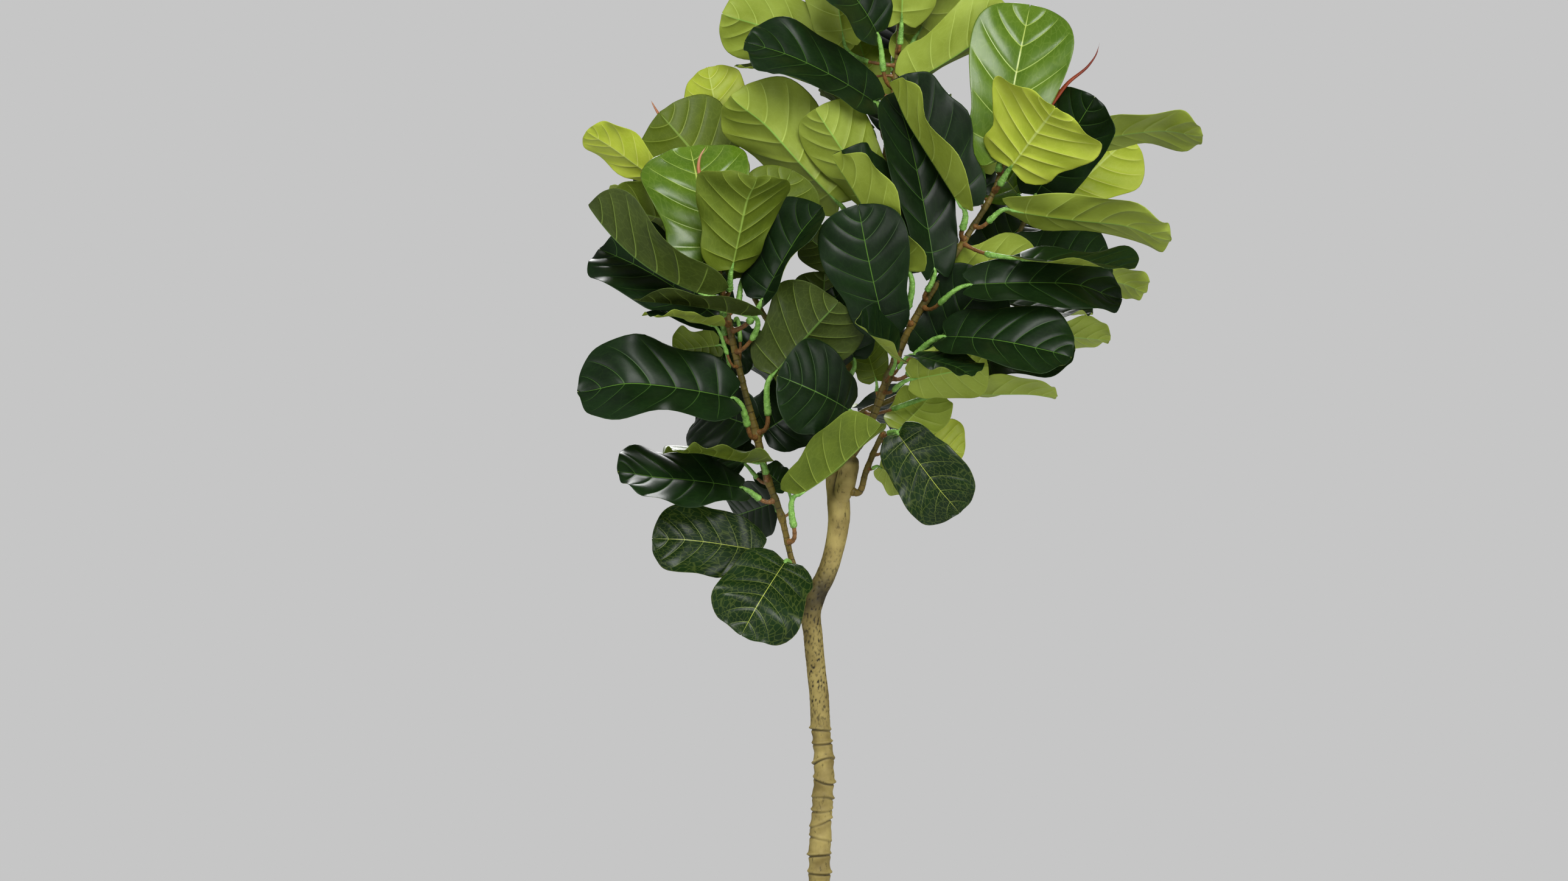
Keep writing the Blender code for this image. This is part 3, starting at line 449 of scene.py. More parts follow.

# %% [markdown]
# The crown is filled by smaller and hidden leaves that are modelled only here. They are given in the
# same way, with a look in place of an age: old is blackish green above and olive below, shaded
# is an old leaf with a clear net of veins and an underside painted darker as shade, the darkest
# olive look is olive painted darker on both sides as shade, olive is duller below, light is
# paler, and mid and young are the fresh leaves near the tips.

# %% More leaves of the crown, with looks in place of ages
MORE_LEAVES = (
    ("leader", 141.0, (8.5, 3.0, 146.0), (5.0, 5.0, 157.5), 175, 10, 0.0, 9.0, "old"),
    ("leader", 148.0, (12.3, 2.5, 151.4), (17.8, 11.0, 158.9), 165, 10, 0.0, 9.0, "old"),
    ("leader", 152.0, (14.0, 3.0, 155.0), (22.0, 7.0, 169.5), 150, 15, 0.0, 11.0, "light"),
    ("leader", 149.0, (3.6, 5.0, 154.0), (1.0, 9.0, 170.0), 180, 10, 0.0, 10.0, "old"),
    ("leader", 131.0, (13.2, 1.5, 133.2), (20.0, 7.0, 142.0), 30, 10, 0.0, 9.0, "old"),
    ("leader", 136.0, (7.5, 1.5, 141.5), (0.0, 3.0, 147.0), 100, 10, 0.0, 6.0, "olive"),
    ("leader", 147.5, (0.0, 3.0, 147.5), (-11.1, 1.0, 151.0), 95, 10, 0.0, 5.0, "old"),
    ("leader", 157.0, (14.5, 3.0, 160.5), (27.0, 10.0, 167.0), 120, 10, 0.0, 12.0, "old"),
    ("leader", 159.0, (14.0, -2.5, 163.0), (22.0, -13.0, 171.5), 150, 10, 0.0, 11.0, "old"),
    ("leader", 156.0, (10.5, -2.5, 161.5), (6.0, -13.0, 172.0), 150, 10, 0.0, 11.0, "mid"),
    ("right_back", 131.0, (31.0, 4.0, 132.0), (39.0, 3.0, 145.5), 15, 10, 0.0, 12.0, "old"),
    ("right_back", 127.0, (34.5, 5.0, 130.0), (48.0, 6.0, 130.3), 100, 10, 0.0, 6.0, "light"),
    ("right", 122.0, (28.4, -6.0, 122.6), (43.8, -9.0, 120.9), 75, 15, 0.0, 11.0, "old"),
    ("right_back", 120.0, (36.0, 5.0, 120.3), (47.4, 4.0, 119.7), 118, 10, 0.0, 8.5, "old"),
    ("right_back", 114.0, (24.5, 3.0, 117.2), (38.9, 1.0, 114.3), 72, 10, 0.0, 10.0, "old"),
    ("right_back", 110.0, (30.0, 5.0, 112.6), (41.9, 5.0, 111.4), 118, 10, 0.0, 8.5, "old"),
    ("right", 106.0, (15.0, -0.5, 109.0), (24.4, 1.0, 120.0), 5, 10, 0.0, 12.0, "old"),
    ("right_back", 106.0, (23.0, -2.0, 108.0), (36.3, -4.0, 109.9), 40, 10, 0.0, 9.5, "old"),
    ("right", 106.5, (13.5, -8.0, 109.0), (21.5, -15.0, 106.6), 65, 10, 0.0, 8.0, "old"),
    ("right", 105.5, (10.6, -6.5, 108.7), (5.3, -17.0, 113.4), 60, 40, 0.0, 8.0, "old"),
    ("right_back", 101.0, (19.0, -3.0, 103.6), (33.8, -6.0, 103.6), 105, 15, 0.0, 10.0, "old"),
    ("low", 97.0, (11.6, -1.5, 98.5), (16.5, 4.0, 103.5), 178, 10, 0.0, 9.0, "light"),
    ("low", 95.0, (12.0, 0.0, 96.8), (20.9, 2.0, 95.1), 160, 10, 0.0, 9.0, "young"),
    ("low", 93.0, (8.6, -4.0, 93.2), (14.0, -3.0, 90.5), 150, 10, 0.0, 7.0, "mid"),
    ("right_back", 117.0, (23.5, 2.0, 122.5), (31.9, 1.0, 130.2), 15, 10, 0.0, 11.0, "old"),
    ("right", 130.0, (23.2, -2.0, 132.0), (20.5, 0.0, 141.0), 10, 10, 0.0, 7.0, "old"),
    ("right", 131.0, (23.5, -1.0, 135.0), (21.8, 2.0, 143.0), 175, 10, 0.0, 6.0, "light"),
    ("leader", 121.0, (13.0, -2.0, 122.0), (13.2, -1.0, 131.5), 175, 10, 0.0, 6.0, "olive"),
    ("leader", 106.0, (5.0, -3.0, 108.6), (2.0, -6.0, 118.5), 8, 10, 0.0, 9.5, "old"),
    ("leader", 108.0, (0.5, 0.0, 111.0), (0.8, -1.0, 121.0), 175, 10, 0.0, 9.0, "shaded_olive"),
    ("right", 103.0, (8.2, 0.0, 105.5), (6.4, 1.0, 111.5), 178, 10, 0.0, 6.0, "olive"),
    ("leader", 115.0, (4.5, -1.0, 121.0), (-1.7, -2.0, 126.0), 170, 10, 0.0, 7.0, "shaded_olive"),
    ("left", 91.0, (-10.5, -2.0, 93.5), (-15.0, 3.0, 96.0), 20, 10, 0.0, 9.0, "old"),
    ("left", 96.0, (-10.5, -1.5, 99.0), (-17.5, 1.0, 93.0), 10, 10, 0.0, 11.0, "old"),
    ("left", 97.5, (-8.0, -1.5, 98.0), (0.0, 1.0, 103.5), 5, 10, 0.0, 12.0, "old"),
    ("left", 108.0, (-12.0, -2.0, 114.0), (-14.5, -1.5, 106.8), 5, 10, 0.0, 9.0, "old"),
    ("left", 109.0, (-15.0, -4.0, 113.2), (-22.8, -8.0, 115.0), 55, 10, 0.0, 8.0, "old"),
    ("left", 107.0, (-14.2, -4.0, 110.5), (-20.5, 0.0, 109.8), 130, 10, 0.0, 6.5, "olive"),
    ("left_back", 122.0, (-19.0, 3.0, 128.0), (-30.2, 2.0, 130.7), 150, 10, 0.0, 9.0, "olive"),
    ("left", 115.0, (-10.8, -6.0, 120.0), (-3.9, -7.5, 135.1), 178, 10, 0.0, 12.0, "olive"),
    ("left_back", 130.0, (-13.0, 2.5, 132.5), (-22.6, 9.0, 144.0), 172, 10, 0.0, 15.0, "olive"),
    ("left_back", 134.0, (-13.5, 5.5, 139.0), (-16.0, 7.0, 150.8), 178, 10, 0.0, 9.5, "young"),
    ("left_back", 131.0, (-21.5, 2.5, 133.2), (-33.0, -3.0, 141.5), 140, 10, 0.0, 8.0, "young"),
    ("left_back", 126.0, (-20.0, 4.0, 130.5), (-30.0, 5.0, 133.0), 95, 10, 0.0, 6.0, "old"),
    ("left", 86.0, (-4.6, -3.0, 90.0), (-8.0, 0.0, 93.0), 20, 10, 0.0, 5.0, "old"),
    ("leader", 118.0, (9.0, 5.5, 122.0), (17.0, 19.0, 130.0), 10, 12, 0.05, 12.0, "old"),
    ("left_back", 128.0, (-15.5, 9.5, 132.0), (-24.0, 20.0, 139.0), 5, 12, 0.05, 12.0, "old"),
    ("right_back", 104.0, (14.0, 10.0, 104.0), (10.0, 23.0, 99.0), 350, 12, 0.06, 12.5, "old"),
    ("left", 96.0, (-9.5, 0.0, 99.0), (-18.0, 11.0, 102.0), 10, 12, 0.05, 12.0, "old"),
    ("left", 86.0, (-6.5, 0.5, 88.0), (-12.0, 12.0, 86.0), 0, 12, 0.05, 13.0, "old"),
)

print("leaves of the frame:", len(LEAVES), "leaves made only here:", len(MORE_LEAVES))

# %% Outline and cross sections
# Outline of a blade: share of the midrib where a side vein starts, how far along it ends at
# the margin, and the half width there.
OUTLINE = (
    (0.00, 0.00, 0.00), (0.03, -0.05, 0.30), (0.08, 0.02, 0.54), (0.16, 0.14, 0.66),
    (0.26, 0.28, 0.68), (0.38, 0.45, 0.84), (0.50, 0.61, 0.97), (0.62, 0.76, 1.00),
    (0.74, 0.885, 0.89), (0.85, 0.96, 0.66), (0.94, 1.00, 0.35), (1.00, 1.015, 0.015),
)
VEIN_SWEEP = 1.3
BLADE_ROWS = (0.03, 0.10, 0.26, 0.42, 0.60, 0.76, 0.90, 1.0)
BLADE_THICK, MIDRIB_THICK = 0.0018, 0.0030
STALK_RADII = (0.0028, 0.0034, 0.0040)
STALK_ROWS = (0.0, 0.4, 0.8)
MARGIN_WAVE = 0.006
CLEARANCE = 0.0026           # m kept round a leaf when it looks for room
# Moves that a leaf can try: centimetres in depth, degrees of turn, centimetres along the stem.
SHIFTS = (0, -1.5, 1.5, -3, 3, -4.5, 4.5, -6.5, 6.5, -9, 9, -12, 12)
TURNS = (0, -12, 12, -25, 25)
HEIGHTS = (0, 1.5, -1.5, 3)


def outline_at(t):
    """End along the midrib and half width of the side vein that starts at t, both as shares."""
    for low, high in zip(OUTLINE, OUTLINE[1:]):
        if t <= high[0]:
            share = (t - low[0]) / (high[0] - low[0])
            return low[1] + (high[1] - low[1]) * share, low[2] + (high[2] - low[2]) * share
    return OUTLINE[-1][1:]


print("widest at", max(OUTLINE, key=lambda row: row[2])[1], "of the length; moves to try:",
      len(SHIFTS) * len(TURNS) * len(HEIGHTS))


# %% One leaf's own directions and its plain solid
class Blade:
    """One leaf's measurements in metres: its own directions and its points."""

    def __init__(self, row, number):
        self.stem, self.height, base, tip, turn, fold, self.arch, width, self.look = row
        self.base = Vector(base) * CM
        run = Vector(tip) * CM - self.base
        self.length, self.along = run.length, run.normalized()
        self.half, self.fold = width * CM / 2, math.radians(fold)
        front = Vector((0.0, -1.0, 0.0))
        front = (front - self.along * front.dot(self.along)).normalized()
        up = front.cross(self.along)
        if self.along.x < 0:
            up.negate()
        turn = math.radians(turn)
        self.top = front * math.cos(turn) + up * math.sin(turn)
        self.across = front * math.sin(turn) - up * math.cos(turn)
        self.wave = number * 1.7
        *centre, radius = on_route(ROUTES[self.stem], self.height)
        centre = Vector(centre) * CM
        self.outwards = side_direction(ROUTES[self.stem], self.height, self.base - centre)
        self.start = centre + self.outwards * (radius * CM + GAP)

    def point(self, t, side):
        """A point of the blade's middle surface: side runs from -1 to 1 across it."""
        end, half = outline_at(t)
        reach = abs(side)
        along = t + (end - t) * reach ** VEIN_SWEEP
        out = half * self.half * reach
        bow = self.arch * self.length * 4.0 * along * (1.0 - along)
        wave = MARGIN_WAVE * half * reach ** 2 * math.sin(9.0 * along + self.wave + side)
        lift = out * math.sin(self.fold) + bow + wave
        aside = out * math.cos(self.fold) * (1.0 if side > 0 else -1.0)
        return self.base + self.along * (along * self.length) + self.top * lift + self.across * aside

    def stalk_point(self, share):
        """A point on the stalk's middle line, and its direction there."""
        reach = (self.base - self.start).length
        slope = (self.point(0.1, 0.0) - self.point(0.0, 0.0)).normalized()
        p0, p3 = self.start, self.base
        p1, p2 = p0 + self.outwards * reach * 0.35, p3 - slope * reach * 0.35
        u = 1.0 - share
        place = p0 * u ** 3 + p1 * 3 * u * u * share + p2 * 3 * u * share ** 2 + p3 * share ** 3
        heading = (p1 - p0) * u * u + (p2 - p1) * 2 * u * share + (p3 - p2) * share ** 2
        return place, heading.normalized()

    def rings(self, swell=0.0):
        """Eight points for each cross-section of the plain solid, from the stem to the tip."""
        hand = 1.0 if self.along.cross(self.across).dot(self.top) > 0 else -1.0
        made, side = [], self.across
        for share, stalk_radius in reversed(tuple(zip(STALK_ROWS, STALK_RADII))):
            place, heading = self.stalk_point(share)
            side = (side - heading * side.dot(heading)).normalized()
            over = heading.cross(side) * hand
            radius = stalk_radius + swell
            ring = []
            for step in range(8):
                angle = math.pi - step * math.pi / 4
                ring.append(place + side * math.cos(angle) * radius + over * math.sin(angle) * radius)
            made.insert(0, ring)
        for t in BLADE_ROWS:
            half = BLADE_THICK / 2 + swell
            rib = half + MIDRIB_THICK * (1.0 - 0.8 * t) * (swell == 0.0)
            edge = 0.3 * half
            ring = [self.point(t, -1.0) + self.top * edge]
            ring += [self.point(t, side) + self.top * (half * 1.4 if side == 0 else half)
                     for side in (-0.5, 0.0, 0.5)]
            ring.append(self.point(t, 1.0) + self.top * edge)
            ring += [self.point(t, side) - self.top * (rib if side == 0 else half)
                     for side in (0.5, 0.0, -0.5)]
            made.append(ring)
        return made


# %% Small moves, and the one that matches the frame
def moves():
    """Small changes to a leaf's place, the smallest first."""
    tries = []
    for shift in SHIFTS:
        for turn in TURNS:
            for height in HEIGHTS:
                tries.append((abs(shift) + abs(turn) * 0.12 + abs(height) * 0.8, shift, turn, height))
    return sorted(tries)


def moved(row, shift, turn, height):
    stem, at, base, tip, angle, fold, arch, width, age = row
    base = (base[0], base[1] + shift * 0.45, base[2])
    tip = (tip[0], tip[1] + shift, tip[2])
    return (stem, at + height, base, tip, angle + turn, fold, arch, width, age)


MOVES = moves()
SAME = 0.0004                # boxes that agree this closely, in metres, are the same leaf


def frame_leaf(number, row):
    """The leaf in the place that its solid was given."""
    low, high = (np.array(corner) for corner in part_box(f"leaf_{number + 1:02d}"))
    best = None
    for _, shift, turn, height in MOVES:
        leaf = Blade(moved(row, shift, turn, height), number)
        points = np.array([point for ring in leaf.rings() for point in ring])
        miss = max(np.abs(points.min(axis=0) - low).max(), np.abs(points.max(axis=0) - high).max())
        if best is None or miss < best[0]:
            best = (miss, leaf)
        if miss < SAME:
            break
    return best


matched = [frame_leaf(number, row) for number, row in enumerate(LEAVES)]
frame_leaves = [leaf for _, leaf in matched]
print("leaf places, largest miss in mm:", round(max(miss for miss, _ in matched) * 1000, 3))


# %% [markdown]
# The other leaves have no solid to agree with. Each one takes the smallest move that keeps its
# plain form clear of the wood, of the leaves placed before it and of the edge of the model's box.
# Where no small move does, the same moves are tried again, made wider.

# %% Keep the other leaves clear
def loft(rings):
    points = [tuple(point) for ring in rings for point in ring]
    return points, strip_faces(len(rings), len(rings[0]))


def box_of(points):
    array = np.array(points)
    return array.min(axis=0), array.max(axis=0)


def apart(one, other):
    return bool((one[0] > other[1]).any() or (other[0] > one[1]).any())


SKIN_ROOM = 0.012            # m that a finished blade may reach past its plain form
OUTSIDE_COUNTS = 200         # a leaf that leaves the model's box counts as this many touches
WIDER_MOVES = [(size, 1.8 * shift, 1.7 * turn, height) for size, shift, turn, height in MOVES]
WOOD_STEP, WOOD_SIDES = 0.01, 8      # how coarsely the wood is drawn when leaves look for room
CROWN_LOW = np.array(cad_low) - SKIN_ROOM
CROWN_HIGH = np.array(cad_high) + (SKIN_ROOM, SKIN_ROOM, -SKIN_ROOM)


def fill_crown(rows, standing_leaves):
    """Each further leaf takes the smallest move that keeps it clear of wood and leaves."""
    standing = []
    for name, route in ROUTES.items():
        line, radii = smooth_route(route, WOOD_STEP)
        points, faces, _ = tube(line, radii + CLEARANCE, WOOD_SIDES)
        standing.append((name, box_of(points), BVHTree.FromPolygons(points.tolist(), faces)))
    for leaf in standing_leaves:
        points, faces = loft(leaf.rings(CLEARANCE))
        standing.append(("leaf", box_of(points), BVHTree.FromPolygons(points, faces)))
    placed, touching = [], 0
    for number, row in enumerate(rows):
        best = None
        for _, shift, turn, height in MOVES + WIDER_MOVES:
            leaf = Blade(moved(row, shift, turn, height), number + len(standing_leaves))
            points, faces = loft(leaf.rings(CLEARANCE))
            tree, box = BVHTree.FromPolygons(points, faces), box_of(points)
            hits = sum(len(tree.overlap(other)) for name, bounds, other in standing
                       if name != row[0] and not apart(box, bounds))
            hits += OUTSIDE_COUNTS * bool((box[0] < CROWN_LOW).any() or (box[1] > CROWN_HIGH).any())
            if best is None or hits < best[0]:
                best = (hits, leaf, box, tree)
            if not hits:
                break
        touching += best[0] > 0
        placed.append(best[1])
        standing.append(("leaf", best[2], best[3]))
    print("more leaves:", len(placed), "of which touching another:", touching)
    return placed


more_leaves = fill_crown(MORE_LEAVES, frame_leaves)

# %% [markdown]
# ## Bark
# The trunk of a young fig is pale khaki, smooth but dusty, with dark flecks in its pores and a
# crevice under every leaf scar. The thin stems are younger wood: olive brown and satin.
# Both are stained by noise at two sizes. The crevices, cracks and grooves are painted dark as
# shade, and the lips of the scars get a painted highlight. Both follow numbers stored on the
# mesh where the shape itself dips or stands out, so paint and shape agree.

# %% Bark finishes
FLECK_MM, STAIN_MM = 2.5, 30.0
# A painted highlight, screened over the raised lips of the leaf scars.
LIP_SHINE = "#5E5638"


def bark_finish(name, pale, deep, fleck, crevice, roughness):
    """Young fig bark, dry and smooth: pale wood stained by noise, dark flecks, painted shade in its
    crevices and a painted highlight on its lips.
    """
    material, tree, shader = new_finish(name, Specular_IOR_Level=0.35)
    place = add(tree, "ShaderNodeTexCoord", out=3)
    stretched = add(tree, "ShaderNodeMapping", {}, {0: place, 3: (1.0, 1.0, 0.4)})
    _, wood = stained(tree, place, 1000 / STAIN_MM, 5.0, (0.35, 0.65), (pale, deep))
    pores = add(tree, "ShaderNodeTexNoise", {},
                {0: stretched, "Scale": 1000 / FLECK_MM / 2, "Detail": 6.0, "Roughness": 0.65})
    dots = add(tree, "ShaderNodeMapRange", {}, {0: pores, 1: 0.58, 2: 0.68, 4: 0.75})
    dip = add(tree, "ShaderNodeAttribute", {"attribute_name": "dip"}, out=2)
    lip = add(tree, "ShaderNodeAttribute", {"attribute_name": "lip"}, out=2)
    # The crevice colour is painted shade laid into the dips; the lip colour screened over the lips is a
    # painted highlight.
    layers = ((dots, fleck, "MIX"), (dip, crevice, "MIX"), (lip, LIP_SHINE, "SCREEN"))
    for share, colour, blend in layers:
        wood = add(tree, "ShaderNodeMix", {"data_type": "RGBA", "blend_type": blend},
                   {0: share, 6: wood, 7: linear(colour)}, 2)
    finished(tree, shader, wood, pores, (roughness - 0.1, roughness + 0.12), pores, 0.45, 0.0006)
    return material


TRUNK_BARK = bark_finish("fig_trunk_bark_dry", "#A99858", "#7C6C38", "#3A3116", "#1A1508", 0.58)
STEM_BARK = bark_finish("fig_stem_bark_satin", "#7E6A2C", "#544C1E", "#33290F", "#241C0A", 0.46)
print("bark finishes:", TRUNK_BARK.name, STEM_BARK.name)

# %% [markdown]
# ## The trunk
# Below the fork the trunk is ringed: each fallen leaf left a raised lip with a crevice under it,
# some level, some slanting. Between them the wood is slightly waisted. Higher up it is rough
# with upright cracks, then dark at the bend, then smooth below the fork, where a groove runs
# between the limb and the stub. The tube is dense enough (a station every 1.6 mm) to carry all
# this as real shape. Shade is also painted into the crevices, the cracks and the groove, and a
# highlight onto the lips.

# %% Measures of the trunk's skin
TRUNK_STEP, TRUNK_SIDES = 0.0016, 56
# Height of each leaf scar in centimetres, how far it slants from side to side, the way it
# faces in turns, and how strongly it shows.
SCARS = (
    (55.6, 0.10, 0.1, 1.0), (53.7, 0.15, 0.6, 0.9), (51.05, 0.65, 0.35, 1.0), (48.4, 0.55, 0.9, 1.0),
    (45.8, 0.35, 0.2, 0.8), (44.2, 0.20, 0.7, 0.8), (42.3, 0.60, 0.5, 0.7), (40.0, 0.45, 0.05, 0.6),
    (37.7, 0.10, 0.4, 1.0), (35.2, 0.20, 0.8, 0.9), (32.8, 0.40, 0.3, 0.8), (30.4, 0.25, 0.65, 1.0),
    (28.1, 0.35, 0.15, 0.8), (25.8, 0.20, 0.5, 0.9), (23.6, 0.30, 0.9, 0.8),
)
LIP_RISE, CREVICE_DEPTH, WAIST = 0.0030, 0.0028, 0.0017      # m
ROUGH_FROM, ROUGH_TO = 55.0, 84.0        # cm, the zone of upright cracks
CRACK_SIZE, CRACK_DEPTH, WOBBLE = 0.0026, 0.0012, 0.0005     # m
NECK_AT, NECK_REACH, NECK_DARK = 75.0, 3.0, 0.9              # cm, cm, share of crevice colour
# SEAM_DARK sets the painted shade in the groove between the limb and the stub.
SEAM_STEP, SEAM_REACH, SEAM_DARK = 0.006, 0.0022, 0.85       # m, m, share of crevice colour
GROOVE_FROM, STUB_SINK, STUB_END = 88.0, 0.006, 93.4         # cm, m, cm


def bump_at(distance, width):
    return np.exp(-(distance / width) ** 2)


def noise_on(points, size, seed):
    """Smooth noise from -1 to 1 at points in metres, its lumps about the given size across."""
    shift = Vector((seed * 7.3, seed * 3.1, seed * 5.7))
    return np.array([noise.noise(Vector(point) / size + shift) for point in points])


def seam_beside(points, route):
    """Nearness of each point to the skin of the other limb: 1 in the groove where they meet."""
    line, radii = smooth_route(route, SEAM_STEP)
    gaps = np.full(len(points), 1.0)
    for place, radius in zip(line, radii):
        gaps = np.minimum(gaps, np.linalg.norm(points - place, axis=1) - radius)
    return bump_at(np.maximum(gaps, 0.0), SEAM_REACH)


# %% Trunk and stub
def trunk_tube(route, ringed):
    """One limb's skin: points, faces, places, how dark each point is painted (shade in its dips, the dark
    bend and the cut end) and how much of a painted highlight it gets as a lip.
    """
    line, radii = smooth_route(route, TRUNK_STEP)
    points, _, places = tube(line, radii, TRUNK_SIDES)
    turn, height = places[:, 0] * math.tau, points[:, 2] / CM
    spoke = points - np.repeat(line, TRUNK_SIDES, axis=0)
    spoke /= np.linalg.norm(spoke, axis=1)[:, None]
    out, dip, lip = np.zeros((3, len(points)))
    wobble = noise_on(points, 0.02, 1)
    if ringed:
        for number, (level, slant, facing, strength) in enumerate(SCARS):
            above = height - level - slant * np.cos(turn - facing * math.tau) - 0.10 * wobble
            reach = strength * (0.75 + 0.25 * np.cos(turn - facing * math.tau + number))
            rise, cut = bump_at(above - 0.18, 0.22) * reach, bump_at(above + 0.12, 0.13) * reach
            out += LIP_RISE * rise - CREVICE_DEPTH * cut
            # The lip takes a painted highlight; the crevice under it takes painted shade.
            lip, dip = np.maximum(lip, rise * 0.45), np.maximum(dip, cut)
            out -= WAIST * bump_at(above + 1.2, 0.7) * strength
    cracks = noise_on(points * np.array((1.0, 1.0, 0.5)), CRACK_SIZE, 2)
    cracks = np.clip((cracks - 0.16) / 0.25, 0, 1)
    cracks *= np.clip((height - ROUGH_FROM) / 4.0, 0, 1) * np.clip((ROUGH_TO - height) / 8.0, 0, 1)
    out += WOBBLE * wobble - CRACK_DEPTH * cracks + WOBBLE / 2 * noise_on(points, 0.0045, 3)
    neck = bump_at(height - NECK_AT, NECK_REACH) * (0.95 + 0.35 * wobble)
    # The groove where the two limbs meet is painted dark as shade.
    seam = seam_beside(points, TRUNK_STUB if ringed else TRUNK)
    seam *= SEAM_DARK * np.clip((height - GROOVE_FROM) / 2.0, 0, 1)
    # Painted shade in the scar crevices, the cracks and the groove; the same dark colour also marks the
    # bend and the cut end of the stub.
    dip = np.maximum.reduce([dip, cracks, np.clip(neck, 0, NECK_DARK), seam])
    if not ringed:
        dip = np.maximum(dip, np.clip((height - STUB_END) / 0.8, 0, 0.7))
        out -= STUB_SINK * np.clip(1 - (height - height.min()) / 3.0, 0, 1)
    points = points + spoke * out[:, None]
    faces = outward(points, strip_faces(len(line), TRUNK_SIDES))
    return points, faces, places, dip, lip


limbs = [trunk_tube(TRUNK, True), trunk_tube(TRUNK_STUB, False)]
shapes = [(points, faces, places, [0] * len(faces)) for points, faces, places, _, _ in limbs]
trunk = make_piece("bark_trunk", *joined(shapes), [TRUNK_BARK],
                   {"dip": np.concatenate([limb[3] for limb in limbs]),
                    "lip": np.concatenate([limb[4] for limb in limbs])})
settle(trunk, "trunk")
print("trunk faces:", len(trunk.data.polygons), "scars:", len(SCARS))

# %% [markdown]
# ## The stems
# The stems carry fine rings all the way up, one where each leaf once stood, and their skin is
# slightly lumpy. That is a shape that follows a path, so it is a Geometry Nodes tree: the path is
# cut into even steps, its radius swells just above each ring and dips just below, a circle is
# drawn along it, and noise moves the skin. The dip is also stored on the mesh, and the bark
# paints shade into it. The step, the ring spacing, the ring height and the lump height are the
# tree's named inputs.

# %% Start a tree
STEM_STEP, STEM_SIDES = 0.0012, 20       # m, corners of a stem's cross section


def number_input(tree, title, value):
    """A named number on a tree's modifier, and the identifier that sets it."""
    kind = "NodeSocketInt" if isinstance(value, int) else "NodeSocketFloat"
    socket = tree.interface.new_socket(title, in_out="INPUT", socket_type=kind)
    socket.default_value = value
    return socket.identifier


def new_tree(name, given, made, numbers):
    """A Geometry Nodes tree from one geometry to another: the tree, its inputs, their identifiers."""
    tree = bpy.data.node_groups.new(name, "GeometryNodeTree")
    tree.interface.new_socket(given, in_out="INPUT", socket_type="NodeSocketGeometry")
    identifiers = {title: number_input(tree, title, value) for title, value in numbers.items()}
    tree.interface.new_socket(made, in_out="OUTPUT", socket_type="NodeSocketGeometry")
    return tree, tree.nodes.new("NodeGroupInput"), identifiers


def painted_output(tree, title, geometry, material):
    """Ends a tree: instances made real, the material set, and the result sent out."""
    whole = add(tree, "GeometryNodeRealizeInstances", {}, {"Geometry": geometry})
    painted = add(tree, "GeometryNodeSetMaterial", {}, {"Geometry": whole, "Material": material})
    add(tree, "NodeGroupOutput", {}, {title: painted})
    print(tree.name, "nodes:", len(tree.nodes))


# %% Stem tree
stem_tree, group, STEM_INPUTS = new_tree("ringed_stem", "Path", "Wood", {
    "Step": STEM_STEP, "Ring spacing": 0.011, "Ring height": 0.0004, "Lump height": 0.0006})
cut = add(stem_tree, "GeometryNodeResampleCurve", {"mode": "LENGTH"},
          {"Curve": group.outputs["Path"], "Length": group.outputs["Step"]})
run = add(stem_tree, "GeometryNodeSplineParameter", out=1)
turns = add(stem_tree, "ShaderNodeMath", {"operation": "DIVIDE"},
            {0: run, 1: group.outputs["Ring spacing"]})
phase = add(stem_tree, "ShaderNodeMath", {"operation": "FRACT"}, {0: turns})
swell = add(stem_tree, "ShaderNodeMapRange", {}, {0: phase, 1: 0.0, 2: 0.22, 3: 1.0, 4: 0.0})
dip = add(stem_tree, "ShaderNodeMapRange", {}, {0: phase, 1: 0.86, 2: 1.0, 3: 0.0, 4: 0.9})
shape = add(stem_tree, "ShaderNodeMath", {"operation": "SUBTRACT"}, {0: swell, 1: dip})
ring = add(stem_tree, "ShaderNodeMath", {"operation": "MULTIPLY"},
           {0: shape, 1: group.outputs["Ring height"]})
radius = add(stem_tree, "ShaderNodeMath", {"operation": "ADD"},
             {0: add(stem_tree, "GeometryNodeInputRadius"), 1: ring})
sized = add(stem_tree, "GeometryNodeSetCurveRadius", {}, {"Curve": cut, "Radius": radius})
# The dip below each ring is stored for the bark, which paints shade there.
marked = add(stem_tree, "GeometryNodeStoreNamedAttribute", {"data_type": "FLOAT", "domain": "POINT"},
             {"Geometry": sized, "Name": "dip", "Value": dip})
circle = add(stem_tree, "GeometryNodeCurvePrimitiveCircle", {"mode": "RADIUS"},
             {"Resolution": STEM_SIDES, "Radius": 1.0})
skin = add(stem_tree, "GeometryNodeCurveToMesh", {},
           {"Curve": marked, "Profile Curve": circle, "Scale": add(stem_tree, "GeometryNodeInputRadius"),
            "Fill Caps": True})
lumps = add(stem_tree, "ShaderNodeTexNoise", {"noise_dimensions": "3D"}, {"Scale": 160.0, "Detail": 3.0})
centred = add(stem_tree, "ShaderNodeMath", {"operation": "SUBTRACT"}, {0: lumps, 1: 0.5})
lift = add(stem_tree, "ShaderNodeMath", {"operation": "MULTIPLY"},
           {0: centred, 1: group.outputs["Lump height"]})
push = add(stem_tree, "ShaderNodeVectorMath", {"operation": "SCALE"},
           {0: add(stem_tree, "GeometryNodeInputNormal"), "Scale": lift})
lumpy = add(stem_tree, "GeometryNodeSetPosition", {}, {"Geometry": skin, "Offset": push})
soft = add(stem_tree, "GeometryNodeSetShadeSmooth", {}, {"Geometry": lumpy})
painted_output(stem_tree, "Wood", soft, STEM_BARK)


